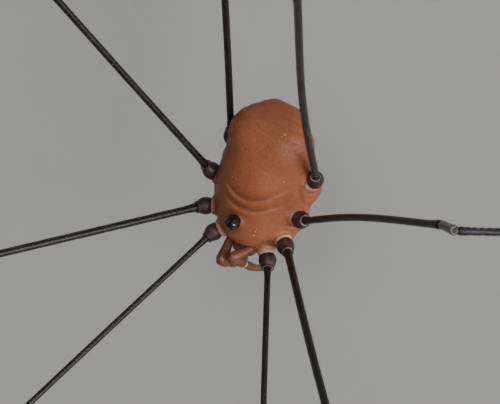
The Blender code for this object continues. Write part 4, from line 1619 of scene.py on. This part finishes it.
def cuticle_material():
    body = settings("body")

    def paint(tree):
        skin = grain(tree, 15000.0, 0.6)
        base = mixed(tree, mottle(tree, 700.0, 0.35), body.russet, body.tan)
        base = laid_over(tree, base, mottle(tree, 3600.0, 0.5), 0.25, body.tan)
        # Painted shade: darker red on the flanks and rear of the abdomen
        base = laid_over(tree, base, attribute(tree, "flank"), 0.32, FLANK_SHADE_RED)
        # Painted shade: a deeper red in the folds, along the segments' borders, round the knob's foot and in
        # the grain's crevices
        base = laid_over(tree, base, attribute(tree, "painted_shade"), 0.5, SHADE_AND_FRECKLE_RED)
        base = laid_over(tree, base, skin.outputs["Crevice shade"], 0.22, SHADE_AND_FRECKLE_RED)
        base = laid_over(tree, base, attribute(tree, "pale"), 0.85, body.pale)
        base = laid_over(tree, base, specks(tree, 3700.0, 0.14, 0.12), 0.6, SHADE_AND_FRECKLE_RED)
        base = mixed(tree, specks(tree, 5200.0, 0.1, 0.13), base, SPECK_WHITE)
        roughness = patchy(tree, 5000.0, 0.4, 0.46, 0.6)
        plain = {"Specular IOR Level": 0.45, **soft_tissue(0.5, 0.45)}
        return base, roughness, skin.outputs["Height"], 0.0045, plain

    return finished("harvestman_cuticle", paint)


def palp_material():
    brown = settings("head").palp_brown

    def paint(tree):
        skin = grain(tree, 16000.0, 0.2)
        base = mixed(tree, mottle(tree, 2400.0, 0.4), shade(brown, 0.62), brown)
        base = mixed(tree, specks(tree, 9000.0, 0.2, 0.12), base, SPECK_WHITE)
        roughness = patchy(tree, 6000.0, 0.4, 0.4, 0.54)
        return base, roughness, skin.outputs["Height"], 0.006, soft_tissue(0.5, 0.25)

    return finished("harvestman_palp", paint)


def knob_material():
    def paint(tree):
        skin = grain(tree, 15000.0, 0.1)
        base = mixed(tree, mottle(tree, 4000.0, 0.5), KNOB_BLACK, KNOB_BROWN)
        roughness = patchy(tree, 9000.0, 0.5, 0.28, 0.42)
        return base, roughness, skin.outputs["Height"], 0.002, {"Specular IOR Level": 0.25}

    return finished("harvestman_knob", paint)


def eye_material():
    black = settings("head").eye_black

    def paint(tree):
        base = mixed(tree, mottle(tree, 5000.0, 0.5), black, [part * 3 + 0.004 for part in black])
        roughness = patchy(tree, 12000.0, 0.3, 0.05, 0.1)
        return base, roughness, None, 0.0, {"Coat Weight": 1.0, "Coat Roughness": 0.03}

    return finished("harvestman_lens", paint)


def dark_finish(name, dark, light, grains, patches, roughness_range, specular=0.5):
    """Hard dark cuticle: two tones, a fine grain with painted shade in its crevices, and a patchy shine."""
    def paint(tree):
        skin = grain(tree, grains, 0.3, (1.0, 1.0, 1.0))
        base = mixed(tree, mottle(tree, patches, 0.6), dark, light)
        # Painted shade in the grain's crevices
        base = laid_over(tree, base, skin.outputs["Crevice shade"], 0.35, dark)
        roughness = patchy(tree, patches * 2.5, 0.4, *roughness_range)
        return base, roughness, skin.outputs["Height"], 0.005, {"Specular IOR Level": specular}

    return finished(name, paint)


def bulb_material():
    purple = settings("legs").purple
    return dark_finish("harvestman_bulb", shade(purple, 0.4), purple, 16000.0, 2600.0, (0.36, 0.52), 0.45)


def femur_material():
    black = settings("legs").black
    return dark_finish("harvestman_femur", black, shade(black, 2.4), 14000.0, 1500.0, (0.3, 0.42), 0.32)


def patella_material():
    return dark_finish("harvestman_patella", PATELLA_DARK, PATELLA_LIGHT, 14000.0, 1800.0, (0.3, 0.45))


def slate_material():
    return dark_finish("harvestman_slate", SLATE_DARK, SLATE_LIGHT, 14000.0, 1300.0, (0.38, 0.5), 0.25)


def foot_material():
    return dark_finish("harvestman_foot", FOOT_DARK, FOOT_LIGHT, 15000.0, 900.0, (0.35, 0.5))


def claw_material():
    return dark_finish("harvestman_claw", CLAW_DARK, CLAW_LIGHT, 20000.0, 9000.0, (0.18, 0.3))


def pale_finish(name, first, second, roughness_range, depth):
    """Soft or thin cuticle that lets light in."""
    def paint(tree):
        skin = grain(tree, 22000.0, 0.5, (1.0, 1.0, 1.0))
        base = mixed(tree, mottle(tree, 5000.0, 0.5), first, second)
        roughness = patchy(tree, 9000.0, 0.4, *roughness_range)
        return base, roughness, skin.outputs["Height"], 0.003, soft_tissue(0.3, depth)

    return finished(name, paint)


def membrane_material():
    pale = settings("legs").membrane
    return pale_finish("harvestman_membrane", shade(pale, 0.72), pale, (0.22, 0.36), 0.1)


def granule_material():
    return pale_finish("harvestman_granule", GRANULE_BROWN, GRANULE_PALE, (0.3, 0.45), 0.05)


def spine_material():
    return pale_finish("harvestman_spine", SPINE_BROWN, SPINE_PALE, (0.25, 0.4), 0.03)


def hair_material():
    return pale_finish("harvestman_hair", HAIR_BROWN, HAIR_PALE, (0.3, 0.45), 0.02)


def floor_material():
    pale = settings("stage").floor

    def paint(tree):
        base = mixed(tree, mottle(tree, 60.0, 0.4), shade(pale, 0.96), pale)
        place = object_place(tree)
        fine = add_node(tree, "ShaderNodeTexNoise", {"Vector": place, "Scale": 1500.0, "Detail": 4.0})
        roughness = ranged(tree, fine.outputs[0], 0.3, 0.7, 0.75, 0.9)
        return base, roughness, fine.outputs[0], 0.01, {"Specular IOR Level": 0.25}

    return finished("pale_floor", paint)


# The stage

def make_floor():
    """Level floor with its edge far outside every view."""
    mesh = bmesh.new()
    size = settings("stage").floor_half_size
    bmesh.ops.create_grid(mesh, x_segments=FLOOR_SQUARES, y_segments=FLOOR_SQUARES, size=size)
    data = mesh_from("floor", mesh)
    data.materials.append(floor_material())
    return add_to_scene("floor", data)


def camera_axes():
    """Directions to the right, up and towards the camera in the photo's view."""
    angles = (CAMERA_AZIMUTH, CAMERA_ELEVATION, CAMERA_ROLL)
    azimuth, elevation, roll = (math.radians(angle) for angle in angles)
    level = Vector((math.cos(azimuth), math.sin(azimuth), 0.0))
    side = Vector((math.sin(azimuth), -math.cos(azimuth), 0.0))
    back = side * math.cos(elevation) + Vector(UP) * math.sin(elevation)
    up = back.cross(level)
    right = level * math.cos(roll) + up * math.sin(roll)
    return right, up * math.cos(roll) - level * math.sin(roll), back


def make_camera():
    right, up, back = camera_axes()
    camera = bpy.data.cameras.new("photo_view")
    camera.sensor_width = SENSOR_WIDTH
    camera.lens = SENSOR_WIDTH * CAMERA_PIXELS_PER_MM * CAMERA_DISTANCE / PICTURE_WIDTH
    camera.clip_start = MM
    camera.clip_end = CAMERA_REACH
    view = add_to_scene("photo_view", camera)
    place = body_middle() + (Vector(CAMERA_AIM) + back * CAMERA_DISTANCE) * MM
    turn = Matrix((right, up, back)).transposed().to_4x4()
    view.matrix_world = Matrix.Translation(place) @ turn
    bpy.context.scene.camera = view


def make_light(name, direction, distance, size, power, tint):
    """Square soft light that faces the body; lengths are in millimetres."""
    light = bpy.data.lights.new(name, "AREA")
    light.shape = "SQUARE"
    light.size = size * MM
    light.energy = power
    light.color = tint
    lamp = add_to_scene(name, light)
    away = Vector(direction).normalized()
    lamp.location = body_middle() + away * distance * MM
    lamp.rotation_euler = away.to_track_quat("Z", "Y").to_euler()


def make_lights():
    for light in STAGE_LIGHTS:
        make_light(*light)
    world = bpy.data.worlds.new("soft_room")
    world.use_nodes = True
    background = world.node_tree.nodes["Background"]
    background.inputs["Color"].default_value = opaque(ROOM_COLOUR)
    background.inputs["Strength"].default_value = ROOM_STRENGTH
    bpy.context.scene.world = world


# Operators

class BuildBody(bpy.types.Operator):
    """Build the seamless skin of carapace, abdomen and coxae"""
    bl_idname = "harvestman.build_body"
    bl_label = "Body skin"

    def execute(self, context):
        finish_piece(make_body_skin(), ["prosoma", "abdomen"])
        finish_piece(make_granules(), [])
        return {"FINISHED"}


class BuildEyes(bpy.types.Operator):
    """Build the eye knob and its two lenses"""
    bl_idname = "harvestman.build_eyes"
    bl_label = "Eye knob and lenses"

    def execute(self, context):
        finish_piece(make_knob(), ["ocularium"])
        for side in SIDES:
            finish_piece(make_eye(side), ["eye_" + side])
        return {"FINISHED"}


class BuildMouthparts(bpy.types.Operator):
    """Build the pedipalps and the jaws"""
    bl_idname = "harvestman.build_mouthparts"
    bl_label = "Pedipalps and jaws"

    def execute(self, context):
        for side in SIDES:
            nodes = [f"palp_{side}_{part}" for part in PALP_PARTS]
            finish_piece(make_palp(side), nodes)
            finish_piece(make_jaw(side), ["chelicera_" + side])
        return {"FINISHED"}


class BuildLegs(bpy.types.Operator):
    """Build the eight legs with their trochanters, joints, spines and claws"""
    bl_idname = "harvestman.build_legs"
    bl_label = "Legs"

    def execute(self, context):
        for side in SIDES:
            for pair in PAIRS:
                nodes = [f"leg_{side}_{pair + 1}_{part}" for part in LEG_PARTS]
                finish_piece(make_leg(side, pair), nodes)
        return {"FINISHED"}


class BuildStage(bpy.types.Operator):
    """Build the floor, the lights and the camera"""
    bl_idname = "harvestman.build_stage"
    bl_label = "Floor, lights and camera"

    def execute(self, context):
        make_floor()
        make_lights()
        make_camera()
        return {"FINISHED"}


OPERATORS = (BuildStage, BuildBody, BuildEyes, BuildMouthparts, BuildLegs)
GROUPS = {"body": BodySettings, "head": HeadSettings, "legs": LegSettings, "stage": StageSettings}


class HarvestmanPanel(bpy.types.Panel):
    """Settings and builders of the harvestman"""
    bl_idname = "VIEW3D_PT_harvestman"
    bl_label = "Harvestman"
    bl_space_type = "VIEW_3D"
    bl_region_type = "UI"
    bl_category = "Harvestman"

    def draw(self, context):
        for name, group in GROUPS.items():
            box = self.layout.box()
            for key in group.__annotations__:
                box.prop(settings(name), key)
        for operator in OPERATORS:
            self.layout.operator(operator.bl_idname)


def register():
    for item in (*GROUPS.values(), *OPERATORS, HarvestmanPanel):
        bpy.utils.register_class(item)
    for name, group in GROUPS.items():
        setattr(bpy.types.Scene, "harvestman_" + name, PointerProperty(type=group))


def unregister():
    for name in GROUPS:
        delattr(bpy.types.Scene, "harvestman_" + name)
    for item in reversed((*GROUPS.values(), *OPERATORS, HarvestmanPanel)):
        bpy.utils.unregister_class(item)


def main():
    register()
    bpy.ops.harvestman.build_stage()
    bpy.ops.harvestman.build_body()
    bpy.ops.harvestman.build_eyes()
    bpy.ops.harvestman.build_mouthparts()
    bpy.ops.harvestman.build_legs()


if __name__ == "__main__":
    main()
